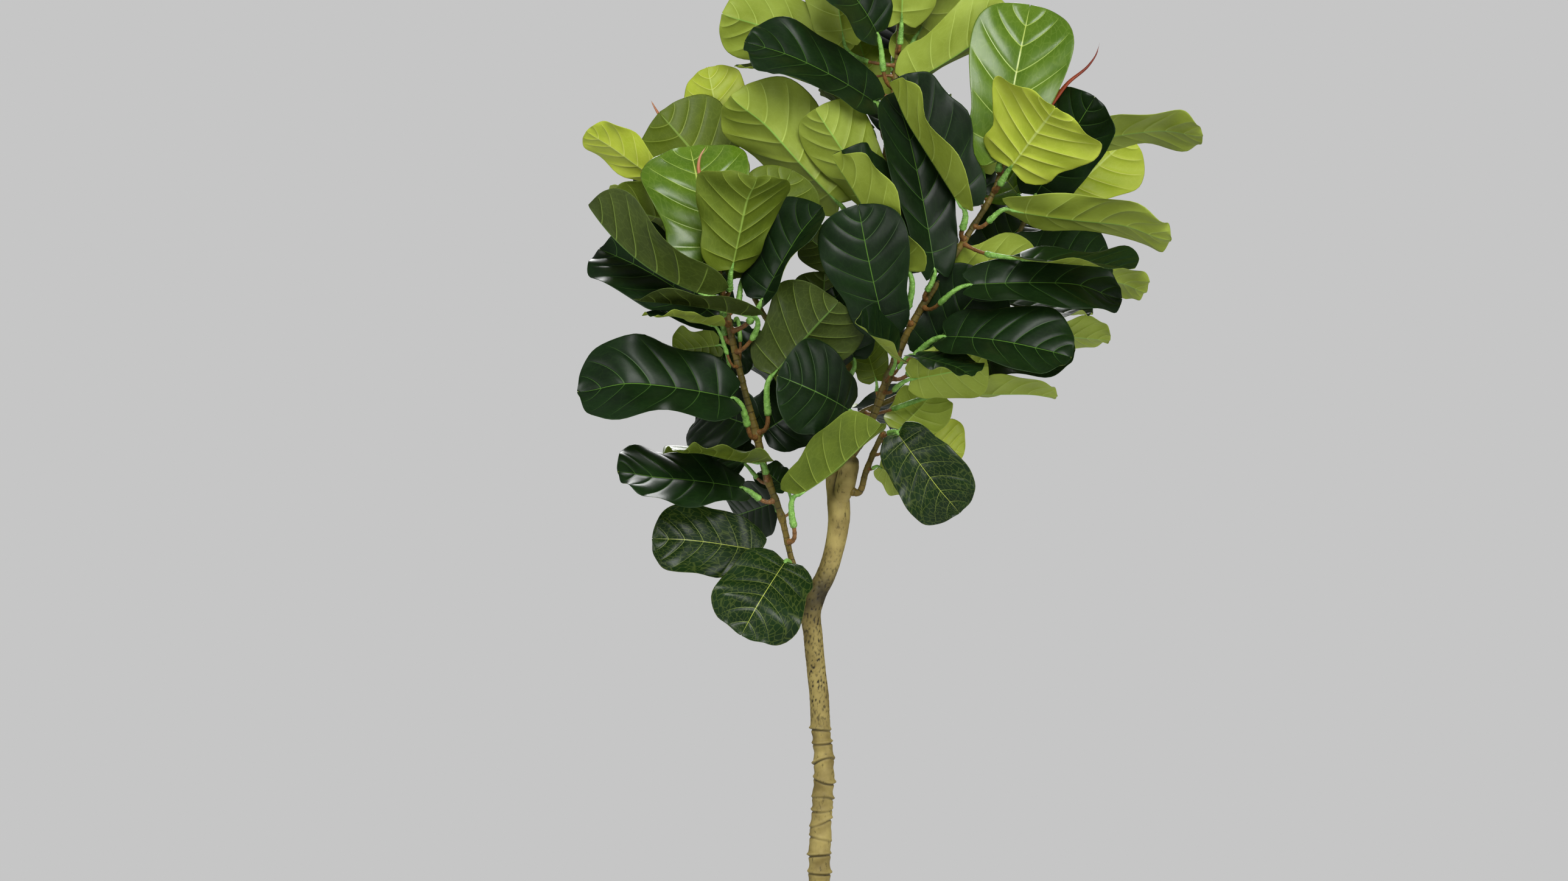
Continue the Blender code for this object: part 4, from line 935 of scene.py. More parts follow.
# %% Grow a mesh with a tree
def grown(name, data, tree, inputs):
    """Runs a Geometry Nodes tree on some data and keeps only the plain mesh that it makes."""
    source = bpy.data.objects.new(name + "_source", data)
    bpy.context.scene.collection.objects.link(source)
    modifier = source.modifiers.new("grow", "NODES")
    modifier.node_group = tree
    for identifier, value in inputs.items():
        modifier[identifier] = value
    graph = bpy.context.evaluated_depsgraph_get()
    mesh = bpy.data.meshes.new_from_object(source.evaluated_get(graph))
    bpy.data.objects.remove(source, do_unlink=True)
    mesh.name = name
    made = bpy.data.objects.new(name, mesh)
    bpy.context.scene.collection.objects.link(made)
    return made


NODE_SWELL, NODE_REACH = 0.14, 0.006     # where a leaf stands: share of the radius, m
COLLAR_SWELL, COLLAR_STEPS = 0.45, 3.5   # at the foot of a side stem: share of the radius, steps
SLENDER = 0.93               # the skin is a little thinner than the stations, before it swells
SINK_USUAL, SINK = 0.5, {"leader": 1.2, "right": 1.0}        # cm that a stem starts in its parent
RINGS_USUAL, RINGS_APART = 0.010, {"leader": 0.014, "left": 0.011, "right": 0.011, "low": 0.009}


def stem_path(name, attachments):
    """The stem's path as a curve: sunk into its parent, swollen where each leaf stands."""
    line, radii = smooth_route(ROUTES[name], STEM_STEP)
    height, radii = line[:, 2], radii * SLENDER
    for level in attachments:
        radii = radii * (1 + NODE_SWELL * bump_at(height - level * CM, NODE_REACH))
    heading = line[9 if name in SINK else 3] - line[0]
    set_off = line[0] - heading / np.linalg.norm(heading) * SINK.get(name, SINK_USUAL) * CM
    line = np.concatenate([[set_off], line])
    collar = 1 + COLLAR_SWELL * np.exp(-np.arange(len(radii)) / COLLAR_STEPS) * (name not in SINK)
    radii = np.concatenate([[radii[0] * 1.2], radii * collar])
    curve = bpy.data.curves.new(name, "CURVE")
    curve.dimensions = "3D"
    spline = curve.splines.new("POLY")
    spline.points.add(len(line) - 1)
    spline.points.foreach_set("co", np.column_stack([line, np.ones(len(line))]).ravel())
    spline.points.foreach_set("radius", radii)
    return curve


all_leaves = frame_leaves + more_leaves
for name in STEMS:
    attachments = [leaf.height for leaf in all_leaves if leaf.stem == name]
    stem = grown(f"wood_{name}", stem_path(name, attachments), stem_tree,
                 {STEM_INPUTS["Ring spacing"]: RINGS_APART.get(name, RINGS_USUAL)})
    settle(stem, f"stem_{name}")
    print(name, "faces:", len(stem.data.polygons), "size:", [round(v, 3) for v in stem.dimensions])

# %% [markdown]
# ## Bud sheaths
# Four stem tips end in a rust-red or salmon sheath that wraps the next leaf and runs out to a
# fine hooked point. It is dry, papery and slightly pleated along its length: a tube whose radius
# is creased by a few long folds.

# %% Sheath finish
FIBRES_ROUND, FIBRES_ALONG = 26.0, 60.0      # to a whole turn and to a metre
TIP_FROM, TIP_TO = 0.05, 0.10                # m along, where the tip's colour sets in


def sheath_finish(name, base, tip, pale):
    """Dry fig sheath, papery and faintly glossy: red brown with paler lengthwise fibres."""
    material, tree, shader = new_finish(name, Roughness=0.42)
    place = add(tree, "ShaderNodeUVMap", {"uv_map": "surface"})
    fibres = add(tree, "ShaderNodeMapping", {}, {0: place, 3: (FIBRES_ROUND, FIBRES_ALONG, 1.0)})
    grain, mixed = stained(tree, fibres, 1.0, 4.0, (0.4, 0.7), (base, pale))
    along = add(tree, "ShaderNodeSeparateXYZ", {}, {0: place}, 1)
    end = add(tree, "ShaderNodeMapRange", {}, {0: along, 1: TIP_FROM, 2: TIP_TO})
    shown = add(tree, "ShaderNodeMix", {"data_type": "RGBA"}, {0: end, 6: mixed, 7: linear(tip)}, 2)
    finished(tree, shader, shown, grain, None, grain, 0.3, 0.0004)
    return material


SHEATH_RED = sheath_finish("fig_sheath_rust_papery", "#A03A1C", "#7E2C18", "#C05A32")
SHEATH_PALE = sheath_finish("fig_sheath_salmon_papery", "#B4633C", "#C9AE84", "#CE8D62")
print("sheath finishes:", SHEATH_RED.name, SHEATH_PALE.name)

# %% Bud sheaths
SHEATH_STEP, SHEATH_SIDES, SHEATH_TWIST = 0.001, 24, 2.2
angles = (np.arange(SHEATH_SIDES) * math.tau / SHEATH_SIDES)[None, :]
for name, route in BUDS.items():
    line, radii = smooth_route(route, SHEATH_STEP)
    twist = np.linspace(0.0, SHEATH_TWIST, len(line))[:, None]
    pleats = 1 + 0.10 * np.cos(3 * angles + twist) + 0.03 * np.cos(9 * angles)
    radii = radii * np.clip(np.linspace(1.0, -0.02, len(line)) * 14, 0.12, 1.0)
    points, faces, places = tube(line, radii[:, None] * pleats, SHEATH_SIDES)
    look = SHEATH_RED if name in ("bud_right", "bud_top") else SHEATH_PALE
    made = make_piece(name.replace("bud", "sheath"), points, faces, places, [0] * len(faces), [look])
    settle(made, name if name in frame["nodes"] else None)
print("sheaths:", len(BUDS))

# %% [markdown]
# ## Leaf finishes
# A fig leaf is waxy: dark and glossy above with thin pale veins, paler and duller below where
# the veins stand out as ribs. Both sides read the leaf's own surface places: the first number
# runs from -1 to 1 across the blade, the second counts the side veins, so a whole number is
# a vein. The veins thin out towards the margin, and between them lies a fine net, drawn a
# little coarser than the real one so that it shows.

# %% Leaf blade finish
VEIN_HALF, VEIN_SOFT, VEIN_THINNING = 0.024, 0.014, 0.018    # shares of the way to the next vein
MIDRIB_HALF = 0.020                   # share of half the blade's width
NET_ACROSS, NET_ALONG = 9.0, 2.6      # cells to half a blade's width and to the next side vein
PATCHES, SHEEN_SPOTS = 22.0, 60.0     # to a metre


def blade_finish(name, wax, deep, vein, rib, net, roughness, wide, sheen):
    """Fig blade, waxy skin: two lamina colours, pale side veins, a paler midrib, a fine net."""
    material, tree, shader = new_finish(name, Specular_IOR_Level=sheen)
    place = add(tree, "ShaderNodeUVMap", {"uv_map": "surface"})
    across = add(tree, "ShaderNodeSeparateXYZ", {}, {0: place}, 0)
    number = add(tree, "ShaderNodeSeparateXYZ", {}, {0: place}, 1)
    reach = add(tree, "ShaderNodeMath", {"operation": "ABSOLUTE"}, {0: across})
    off_vein = add(tree, "ShaderNodeMath", {"operation": "PINGPONG"}, {0: number, 1: 0.5})
    thinned = add(tree, "ShaderNodeMath", {"operation": "MULTIPLY_ADD"},
                  {0: reach, 1: VEIN_THINNING, 2: off_vein})
    half = VEIN_HALF * wide
    side_vein = add(tree, "ShaderNodeMapRange", {},
                    {0: thinned, 1: half, 2: half + VEIN_SOFT, 3: 1.0, 4: 0.0})
    ends = add(tree, "ShaderNodeMapRange", {}, {0: reach, 1: 0.80, 2: 0.97, 3: 1.0, 4: 0.0})
    vein_mask = add(tree, "ShaderNodeMath", {"operation": "MULTIPLY"}, {0: side_vein, 1: ends})
    object_place = add(tree, "ShaderNodeTexCoord", out=3)
    _, lamina = stained(tree, object_place, PATCHES, 3.0, (0.35, 0.65), (wax, deep))
    scaled = add(tree, "ShaderNodeMapping", {}, {0: place, 3: (NET_ACROSS, NET_ALONG, 1.0)})
    cells = add(tree, "ShaderNodeTexVoronoi", {"feature": "DISTANCE_TO_EDGE"}, {0: scaled, "Scale": 1.0})
    line = add(tree, "ShaderNodeMapRange", {}, {0: cells, 1: 0.02, 2: 0.075, 3: net, 4: 0.0})
    half = MIDRIB_HALF * wide
    mid_mask = add(tree, "ShaderNodeMapRange", {}, {0: reach, 1: 0.6 * half, 2: 1.2 * half, 3: 1.0, 4: 0.0})
    rim_mask = add(tree, "ShaderNodeMapRange", {}, {0: reach, 1: 0.985, 2: 0.995, 4: 0.45})
    for mask, colour in ((line, vein), (vein_mask, vein), (mid_mask, rib), (rim_mask, vein)):
        lamina = add(tree, "ShaderNodeMix", {"data_type": "RGBA"},
                     {0: mask, 6: lamina, 7: linear(colour)}, 2)
    tone = add(tree, "ShaderNodeAttribute", {"attribute_name": "tone"}, out=2)
    toned = add(tree, "ShaderNodeHueSaturation", {}, {"Value": tone, "Color": lamina})
    gloss = add(tree, "ShaderNodeTexNoise", {}, {0: object_place, "Scale": SHEEN_SPOTS, "Detail": 4.0})
    raised = add(tree, "ShaderNodeMath", {"operation": "SUBTRACT"}, {0: gloss, 1: line})
    finished(tree, shader, toned, gloss, (roughness - 0.06, roughness + 0.1), raised, 0.25, 0.0005)
    return material


# %% Leaf looks
# For each look: lamina twice, side veins, midrib, net strength, roughness, vein width, sheen.
UPPER = {
    "old": ("#0E1F0A", "#152A0F", "#3E5E28", "#557C2F", 0.05, 0.34, 0.55, 0.20),
    "shaded": ("#12260B", "#193010", "#7C8C40", "#B0BC52", 0.20, 0.30, 0.42, 0.22),
    "olive": ("#3A4A10", "#485A14", "#7E9434", "#98A840", 0.10, 0.34, 0.7, 0.3),
    # The next look is the olive one painted darker on both sides, as shade.
    "shaded_olive": ("#2E3E10", "#3A4C14", "#6A8030", "#86983C", 0.10, 0.34, 0.7, 0.3),
    "mid": ("#4C6C12", "#5E7C1E", "#A0B858", "#AEC05C", 0.10, 0.27, 0.8, 0.4),
    "light": ("#6A8224", "#7C9630", "#A8B858", "#B4C464", 0.10, 0.36, 0.8, 0.36),
    "young": ("#A6B82E", "#B4C43A", "#CBD568", "#D2DC74", 0.10, 0.38, 0.8, 0.36),
}
UNDER = {
    "old": ("#8E9F34", "#9CAE42", "#B0C458", "#94C054", 0.12, 0.5, 1.0, 0.3),
    # The shaded look's underside is painted darker than the old one's, as shade.
    "shaded": ("#4E5F30", "#5C6D3A", "#7C9050", "#84A050", 0.25, 0.5, 1.1, 0.3),
    "olive": ("#586A17", "#66781C", "#8A9C3A", "#84A040", 0.12, 0.5, 1.1, 0.3),
    # The next underside is the olive one painted darker, as shade.
    "shaded_olive": ("#324010", "#3E4C16", "#6A7E34", "#608038", 0.12, 0.5, 1.1, 0.25),
    "mid": ("#94A63E", "#A0B24A", "#BACA64", "#AEC65C", 0.14, 0.48, 1.1, 0.3),
    "light": ("#90A238", "#9EB044", "#B4C45C", "#ACC458", 0.14, 0.48, 1.1, 0.3),
    "young": ("#A9BA34", "#B6C440", "#CCD666", "#C4D46A", 0.12, 0.45, 1.1, 0.3),
}
BLADES = {}
for look in UPPER:
    BLADES[look] = (blade_finish(f"fig_blade_{look}_upper_waxy", *UPPER[look]),
                    blade_finish(f"fig_blade_{look}_under_dull", *UNDER[look]))
print("leaf looks:", ", ".join(BLADES))


# %% Stalk finishes
TONE_SPOTS, WARTS = 130.0, 420.0      # to a metre


def stalk_finish(name, pale, deep, scurf, roughness):
    """Fig leaf stalk, corky skin: two tones broken by fine warts."""
    material, tree, shader = new_finish(name)
    place = add(tree, "ShaderNodeTexCoord", out=3)
    tones, mixed = stained(tree, place, TONE_SPOTS, 4.0, (0.38, 0.62), (pale, deep))
    warts = add(tree, "ShaderNodeTexVoronoi", {}, {0: place, "Scale": WARTS})
    spots = add(tree, "ShaderNodeMapRange", {}, {0: warts, 1: 0.15, 2: 0.4, 3: 0.5, 4: 0.0})
    flecked = add(tree, "ShaderNodeMix", {"data_type": "RGBA"}, {0: spots, 6: mixed, 7: linear(scurf)}, 2)
    finished(tree, shader, flecked, tones, (roughness - 0.08, roughness + 0.1), warts, 0.5, 0.0007)
    return material


SLEEVE_GREEN = stalk_finish("fig_stalk_green_corky", "#8CC058", "#689A3C", "#B8DA88", 0.5)
PEG_BROWN = stalk_finish("fig_stalk_base_brown_bark", "#8E6230", "#6C4820", "#A8804C", 0.5)
print("stalk finishes:", SLEEVE_GREEN.name, PEG_BROWN.name)

# %% [markdown]
# ## The blades
# A blade could be a flat card with a picture of veins, but the light would then slide over it
# like paper. Here each blade is a thin closed shell on a grid whose rows follow the side veins:
# the skin puffs up between two veins, sinks in a fine channel along each one above and stands
# out as a rib below, the midrib is a thick cord underneath, and the margin ruffles in step with
# the veins. The outline is the fiddle shape of the frame's solids, smoothed.

# %% Grid of a blade
VEINS = np.array((0.015, 0.10, 0.23, 0.39, 0.56, 0.73, 0.87))
VEIN_LEAN = 0.17
RIB_HALF_WIDTH = 0.007
half_sides = np.array((0.03, 0.07, 0.15, 0.25, 0.36, 0.48, 0.6, 0.7, 0.8, 0.88, 0.94, 0.98, 1.0))
SIDES = np.concatenate([-half_sides[::-1], [0.0], half_sides])
before, after = VEINS[1:] - RIB_HALF_WIDTH, VEINS + RIB_HALF_WIDTH
between = [np.linspace(low, high, 5)[1:4] for low, high in zip(after, before)]
ROWS = np.unique(np.concatenate([VEINS, before, after, *between,
                                 (0.004, 0.905, 0.93, 0.95, 0.968, 0.982, 0.992, 1.0)]))
ON_VEIN = np.isin(ROWS, VEINS)
VEIN_NUMBER = np.interp(ROWS, np.concatenate([[0.0], VEINS, [1.0]]),
                        np.concatenate([[-0.2], np.arange(len(VEINS)), [len(VEINS) - 0.12]]))
PUFF, CHANNEL, RIB, RUFFLE = 0.0013, 0.0005, 0.0012, 0.0050
MIDRIB_RISE, MIDRIB_TIP = 0.0030, 0.0006
SKIN = 0.0006                # half the blade's thickness
ROUNDER = {"young": -0.06, "mid": 0.16}     # how far the waist of the plain outline is filled out
ROUNDER_USUAL = 0.22
outline_t, outline_end, outline_half = np.array(OUTLINE).T
print("rows of a blade:", len(ROWS), "columns:", len(SIDES), "side veins:", len(VEINS))


# %% One blade
def ramp(low, high, values):
    """A smooth step from 0 to 1 between two values."""
    share = np.clip((values - low) / (high - low), 0, 1)
    return share * share * (3 - 2 * share)


def blade_shape(leaf, draw, ease):
    """The closed shell of one blade: points, faces, places and a finish number for each face."""
    s, side = ROWS[:, None], SIDES[None, :]
    reach, sign = np.abs(side), np.sign(side)
    size = leaf.half / 0.07
    t = np.clip(s + VEIN_LEAN * reach ** 1.25 * 4 * s * (1 - s), 0, 1)
    end = cubic(outline_t, outline_end, t.ravel()).reshape(t.shape)
    half = np.maximum(cubic(outline_t, outline_half, t.ravel()).reshape(t.shape), 0.004)
    phases = draw.uniform(0, math.tau, 4)
    half = half * (1 + ease * ROUNDER.get(leaf.look, ROUNDER_USUAL) * bump_at(t - 0.23, 0.15))
    half = half * (1 + 0.035 * ease * np.sin(t * 11 + phases[0] + sign)
                   + 0.012 * ease * np.sin(t * 25 + phases[1] * sign))
    along = t + (end - t) * reach ** VEIN_SWEEP
    out = half * leaf.half * reach
    bow = leaf.arch * leaf.length * 4 * along * (1 - along)
    wave = MARGIN_WAVE * half * reach ** 2 * np.sin(9 * along + leaf.wave + side)
    number = VEIN_NUMBER[:, None]
    puff = np.abs(np.sin(math.pi * number)) ** 0.8
    puff = puff * ramp(0.02, 0.2, reach) * (1 - 0.75 * ramp(0.7, 1, reach))
    ruffle = np.sin(math.pi * number + phases[2] + 0.8 * sign) * reach ** 3 * ramp(0.0, 0.2, s)
    curl = draw.uniform(-0.05, 0.16) * ramp(0.55, 1.0, along) ** 2 * leaf.length
    cup = draw.uniform(-0.05, 0.03) * leaf.half * (reach ** 2 - 0.5 * reach) * half
    relief = PUFF * puff + ease * RUFFLE * ruffle * draw.uniform(0.5, 1.2)
    lift = (out * math.sin(leaf.fold) + bow + wave + ease * (cup - curl)
            + size * relief * (1 - ramp(0.9, 1, s)))
    aside = out * math.cos(leaf.fold) * sign
    base, on, top, across = (np.array(v) for v in (leaf.base, leaf.along, leaf.top, leaf.across))
    middle = (base + on * (along * leaf.length)[..., None] + top * lift[..., None]
              + across * aside[..., None])
    tilt = leaf.fold * ramp(0.0, 0.12, reach)
    normal = top * np.cos(tilt)[..., None] - across * (np.sin(tilt) * sign)[..., None]
    normal = np.broadcast_to(normal, middle.shape)
    vein_rows = ON_VEIN[:, None] * 1.0
    core = np.exp(-(reach / 0.05) ** 2)
    rib = RIB * vein_rows * (1 - ramp(0.55, 0.97, reach)) * (1 - 0.35 * s) * ramp(0.0, 0.05, reach)
    cord = (MIDRIB_RISE + (MIDRIB_TIP - MIDRIB_RISE) * s ** 0.8) * core
    channel = CHANNEL * vein_rows * (1 - ramp(0.6, 0.95, reach)) + 0.5 * CHANNEL * core
    skin = SKIN * (1 - 0.45 * reach ** 4) * np.ones_like(s)
    above = middle + normal * (skin - channel * size)[..., None]
    below = middle - normal * (skin + size * (rib + cord))[..., None]
    above[:, 0], above[:, -1] = middle[:, 0], middle[:, -1]
    rings = np.concatenate([above, below[:, -2:0:-1]], axis=1)
    number = np.broadcast_to(VEIN_NUMBER[:, None], (len(ROWS), len(SIDES)))
    flat = np.broadcast_to(SIDES, number.shape)
    places = np.stack([flat, number], axis=2)
    places = np.concatenate([places, places[:, -2:0:-1]], axis=1)
    count = rings.shape[1]
    points, faces = rings.reshape(-1, 3), strip_faces(len(ROWS), count)
    finishes = [int(face % count >= len(SIDES) - 1) for face in range(len(faces) - 2)] + [1, 1]
    return points, outward(points, faces), places.reshape(-1, 2), finishes


# %% [markdown]
# The stalk is two pieces of skin on one line. Next to the stem it is a brown peg of young bark
# with a collar where it is seated. The rest is a warty green sleeve, thicker than the peg, with
# a ragged lower end. It narrows to the blade and runs out under it into the midrib.

# %% Stalks
PEG_END, SLEEVE_START = 0.50, 0.40
PEG_RADIUS, SLEEVE_RADIUS, NECK_RADIUS = 0.0031, 0.0046, 0.0034
PEG_RINGS, SLEEVE_RINGS, STALK_SIDES = 16, 26, 14


def stalk_shapes(leaf, draw):
    """The peg and the sleeve of one leaf, each a closed tube."""
    size = min(max(leaf.half / 0.065, 0.55), 1.05)
    line = [np.array(leaf.start - leaf.outwards * 0.004)]
    line += [np.array(leaf.stalk_point(share)[0]) for share in np.linspace(0, PEG_END, PEG_RINGS)]
    collar = 1 + 0.55 * np.exp(-np.arange(PEG_RINGS) / 1.6)
    radii = np.concatenate([[PEG_RADIUS * 1.5], PEG_RADIUS * collar]) * size
    folds = 1 + 0.07 * np.sin(np.arange(len(line)) * 2.1)[:, None]
    folds = folds + draw.uniform(-0.05, 0.05, (len(line), STALK_SIDES))
    peg = tube(np.array(line), radii[:, None] * folds, STALK_SIDES)
    shares = np.linspace(SLEEVE_START, 1.0, SLEEVE_RINGS)
    line = [np.array(leaf.stalk_point(share)[0]) for share in shares]
    for t in (0.02, 0.05, 0.09):
        line.append(np.array(leaf.point(t, 0.0) - leaf.top * (0.0022 * size)))
    steps = np.linspace(0, 1, len(line))
    radii = np.interp(steps, (0, 0.06, 0.2, 0.75, 0.9, 1.0),
                      (SLEEVE_RADIUS * 0.86, SLEEVE_RADIUS * 1.12, SLEEVE_RADIUS,
                       NECK_RADIUS, NECK_RADIUS * 0.85, 0.0010))
    warts = 1 + draw.uniform(-0.16, 0.18, (len(line), STALK_SIDES)) * (1 - 0.6 * steps)[:, None]
    sleeve = tube(np.array(line), radii[:, None] * size * warts, STALK_SIDES)
    return [(*peg, [3] * len(peg[1])), (*sleeve, [2] * len(sleeve[1]))]


# %% [markdown]
# Every leaf is drawn from its own seed, with all of its curl and waves. Where its skin would
# meet a neighbour's it is drawn again with less of them, down to the plain curve of the frame's
# solid, and the draw that meets the fewest faces stays. Two rounds settle the crown.

# %% All the leaves
# Looks that paint shade go to leaves in shade: shaded to the lowest leaves, the darkest olive to leaves
# deep in the crown.
LOOK_OF = {0: "shaded", 1: "shaded", 2: "olive", 4: "shaded_olive", 6: "olive",     # places from 0
           15: "shaded", 17: "olive", 18: "shaded_olive", 21: "shaded_olive"}
LEAF_SEED = 500
TONES = (0.92, 1.05)
EASES = (1.0, 0.6, 0.3, 0.0)     # shares of its curl and waves that a leaf can be left with
ROUNDS = 2
skins = [None] * len(all_leaves)


def leaf_skin(place, ease):
    """One draw of a leaf: its ease, its shape, its tone, its box and a tree for meeting others."""
    draw = np.random.default_rng(LEAF_SEED + place)
    leaf = all_leaves[place]
    shape = joined([blade_shape(leaf, draw, ease), *stalk_shapes(leaf, draw)])
    tree = BVHTree.FromPolygons(shape[0].tolist(), shape[1])
    return ease, shape, draw.uniform(*TONES), box_of(shape[0]), tree


def touches(place, skin):
    """How many faces of a leaf's skin meet the skins of the other leaves."""
    others = [other for number, other in enumerate(skins) if other and number != place]
    return sum(len(skin[4].overlap(other[4])) for other in others if not apart(skin[3], other[3]))


for _ in range(ROUNDS):
    for place in range(len(all_leaves)):
        if skins[place] and not touches(place, skins[place]):
            continue
        tries = []
        for ease in EASES:
            tries.append(leaf_skin(place, ease))
            if not touches(place, tries[-1]):
                break
        skins[place] = min(tries, key=lambda skin: touches(place, skin))
touching = sum(touches(place, skin) > 0 for place, skin in enumerate(skins))
print("leaves eased:", sum(skin[0] < 1 for skin in skins), "of which still touching:", touching)

# %% The leaves as pieces
leaf_faces = 0
for place, (leaf, skin) in enumerate(zip(all_leaves, skins)):
    _, shape, tone, *_ = skin
    from_frame = place < len(frame_leaves)
    look = LOOK_OF.get(place, leaf.look) if from_frame else leaf.look
    number = place + 1 if from_frame else place + 1 - len(frame_leaves)
    name = f"fig_leaf_{number:02d}" if from_frame else f"crown_leaf_{number:02d}"
    made = make_piece(name, *shape, [*BLADES[look], SLEEVE_GREEN, PEG_BROWN],
                      {"tone": np.full(len(shape[0]), tone)})
    settle(made, f"leaf_{place + 1:02d}" if from_frame else None)
    leaf_faces += len(made.data.polygons)
print("leaves:", len(all_leaves), "faces:", leaf_faces)

# %% [markdown]
# ## Pot and soil
# The pot is a plain grower's pot: charcoal plastic, moulded, a little matt, with a rolled rim
# and four drain holes cut through the foot. It is a profile turned about the upright axis.

# %% Pot
POT_HEIGHT, POT_TOP, POT_FOOT, POT_WALL, POT_FLOOR = 0.24, 0.137, 0.100, 0.004, 0.008
RIM_DEPTH, RIM_OVERHANG = 0.018, 0.006
DRAIN_RADIUS, DRAIN_CIRCLE, DRAIN_COUNT, DRAIN_SIDES = 0.005, 0.070, 4, 24
POT_STEPS = 144
SCUFFS, GRAIN = 45.0, 900.0       # to a metre


def inner_radius(height):
    """Radius of the pot's inside at a height in metres."""
    return POT_FOOT + (POT_TOP - POT_FOOT) * height / POT_HEIGHT - POT_WALL


def moulded_finish(name, colour, scuffed, roughness):
    """Polypropylene, injection moulded: an even charcoal with a fine matt grain and light scuffs."""
    material, tree, shader = new_finish(name, IOR=1.49)
    place = add(tree, "ShaderNodeTexCoord", out=3)
    scuff, mixed = stained(tree, place, SCUFFS, 6.0, (0.52, 0.75), (colour, scuffed), 0.5, 0.7)
    grain = add(tree, "ShaderNodeTexNoise", {}, {0: place, "Scale": GRAIN, "Detail": 2.0})
    finished(tree, shader, mixed, scuff, (roughness - 0.05, roughness + 0.12), grain, 0.2, 0.0003)
    return material


def turn_angles(count):
    """Even angles once round."""
    return np.arange(count) * math.tau / count


def rounded(corners, radius, steps=5):
    """A profile with each inner corner replaced by a short curve."""
    made = [corners[0]]
    for before, corner, after in zip(corners, corners[1:], corners[2:]):
        before, corner, after = Vector(before), Vector(corner), Vector(after)
        to_before, to_after = (before - corner).length, (after - corner).length
        cut = min(radius, to_before * 0.45, to_after * 0.45)
        start, end = corner.lerp(before, cut / to_before), corner.lerp(after, cut / to_after)
        for step in range(steps + 1):
            share = step / steps
            made.append(tuple(start.lerp(corner, share).lerp(corner.lerp(end, share), share)))
    return made + [corners[-1]]


def turned(profile, steps):
    """A closed shape turned about the upright axis; the profile starts and ends on the axis."""
    angles = turn_angles(steps)
    ring = np.array(profile[1:-1])
    x = ring[:, 0, None] * np.cos(angles)
    y = ring[:, 0, None] * np.sin(angles)
    z = np.broadcast_to(ring[:, 1, None], x.shape)
    points = np.stack([x, y, z], axis=2).reshape(-1, 3)
    faces = strip_faces(len(ring), steps)[:-2]
    ends = np.array([(0, 0, profile[0][1]), (0, 0, profile[-1][1])])
    first, last = len(points), len(points) + 1
    points = np.concatenate([points, ends])
    start = (len(ring) - 1) * steps
    faces += [(first, (step + 1) % steps, step) for step in range(steps)]
    faces += [(last, start + step, start + (step + 1) % steps) for step in range(steps)]
    return points, faces


# %% The pot turned and drained
POT_PLASTIC = moulded_finish("polypropylene_charcoal_moulded", "#2B2C2E", "#3C3D3F", 0.48)
profile = rounded([
    (0.0, POT_FLOOR), (inner_radius(POT_FLOOR), POT_FLOOR),
    (inner_radius(POT_HEIGHT), POT_HEIGHT), (POT_TOP + RIM_OVERHANG, POT_HEIGHT),
    (POT_TOP + RIM_OVERHANG - 0.001, POT_HEIGHT - RIM_DEPTH),
    (POT_TOP - 0.0045, POT_HEIGHT - RIM_DEPTH - 0.0005), (POT_FOOT, 0.003), (POT_FOOT - 0.003, 0.0),
    (POT_FOOT - 0.012, 0.0), (POT_FOOT - 0.014, 0.0025), (0.0, 0.0025)], 0.003)
points, faces = turned(profile, POT_STEPS)
faces = outward(points, faces)
pot = make_piece("pot_moulded", points, faces, points[:, :2], [0] * len(faces), [POT_PLASTIC])
for number in range(DRAIN_COUNT):
    angle = math.tau * (number + 0.5) / DRAIN_COUNT
    centre = np.array((DRAIN_CIRCLE * math.cos(angle), DRAIN_CIRCLE * math.sin(angle), 0.0))
    line = centre + np.array((0, 0, 1.0)) * np.linspace(-0.01, 0.02, 4)[:, None]
    points, faces, places = tube(line, np.full(len(line), DRAIN_RADIUS), DRAIN_SIDES)
    cutter = make_piece(f"drain_{number}", points, faces, places, [0] * len(faces), [])
    hole = pot.modifiers.new(f"drain {number}", "BOOLEAN")
    hole.operation = "DIFFERENCE"
    hole.object = cutter
graph = bpy.context.evaluated_depsgraph_get()
drained = bpy.data.meshes.new_from_object(pot.evaluated_get(graph))
pot.modifiers.clear()
pot.data = drained
pot.data.set_sharp_from_angle(angle=math.radians(40))
for number in range(DRAIN_COUNT):
    bpy.data.objects.remove(bpy.data.objects[f"drain_{number}"], do_unlink=True)
settle(pot, "pot")
print("pot faces:", len(pot.data.polygons), "size:", [round(v, 3) for v in pot.dimensions])

# %% Soil
PEAT_CRUMBS = 320.0          # to a metre
SOIL_TOP, SOIL_FOOT, SOIL_MOUND, SOIL_GAP = 0.200, 0.012, 0.005, 0.0012
SOIL_RINGS, SOIL_SIDES = 64, 144
HEAPS = ((0.0028, 0.035, 4), (0.0016, 0.009, 5), (0.0008, 0.004, 6))    # height, size, seed


def peat_finish(name, dry, damp):
    """Peat potting mix, loose and damp: near-black brown with dry fibres, no gloss."""
    material, tree, shader = new_finish(name, Specular_IOR_Level=0.2)
    place = add(tree, "ShaderNodeTexCoord", out=3)
    crumbs, mixed = stained(tree, place, PEAT_CRUMBS, 8.0, (0.4, 0.68), (damp, dry), 1.0, 0.7)
    finished(tree, shader, mixed, crumbs, (0.85, 1.0), crumbs, 0.8, 0.002)
    return material


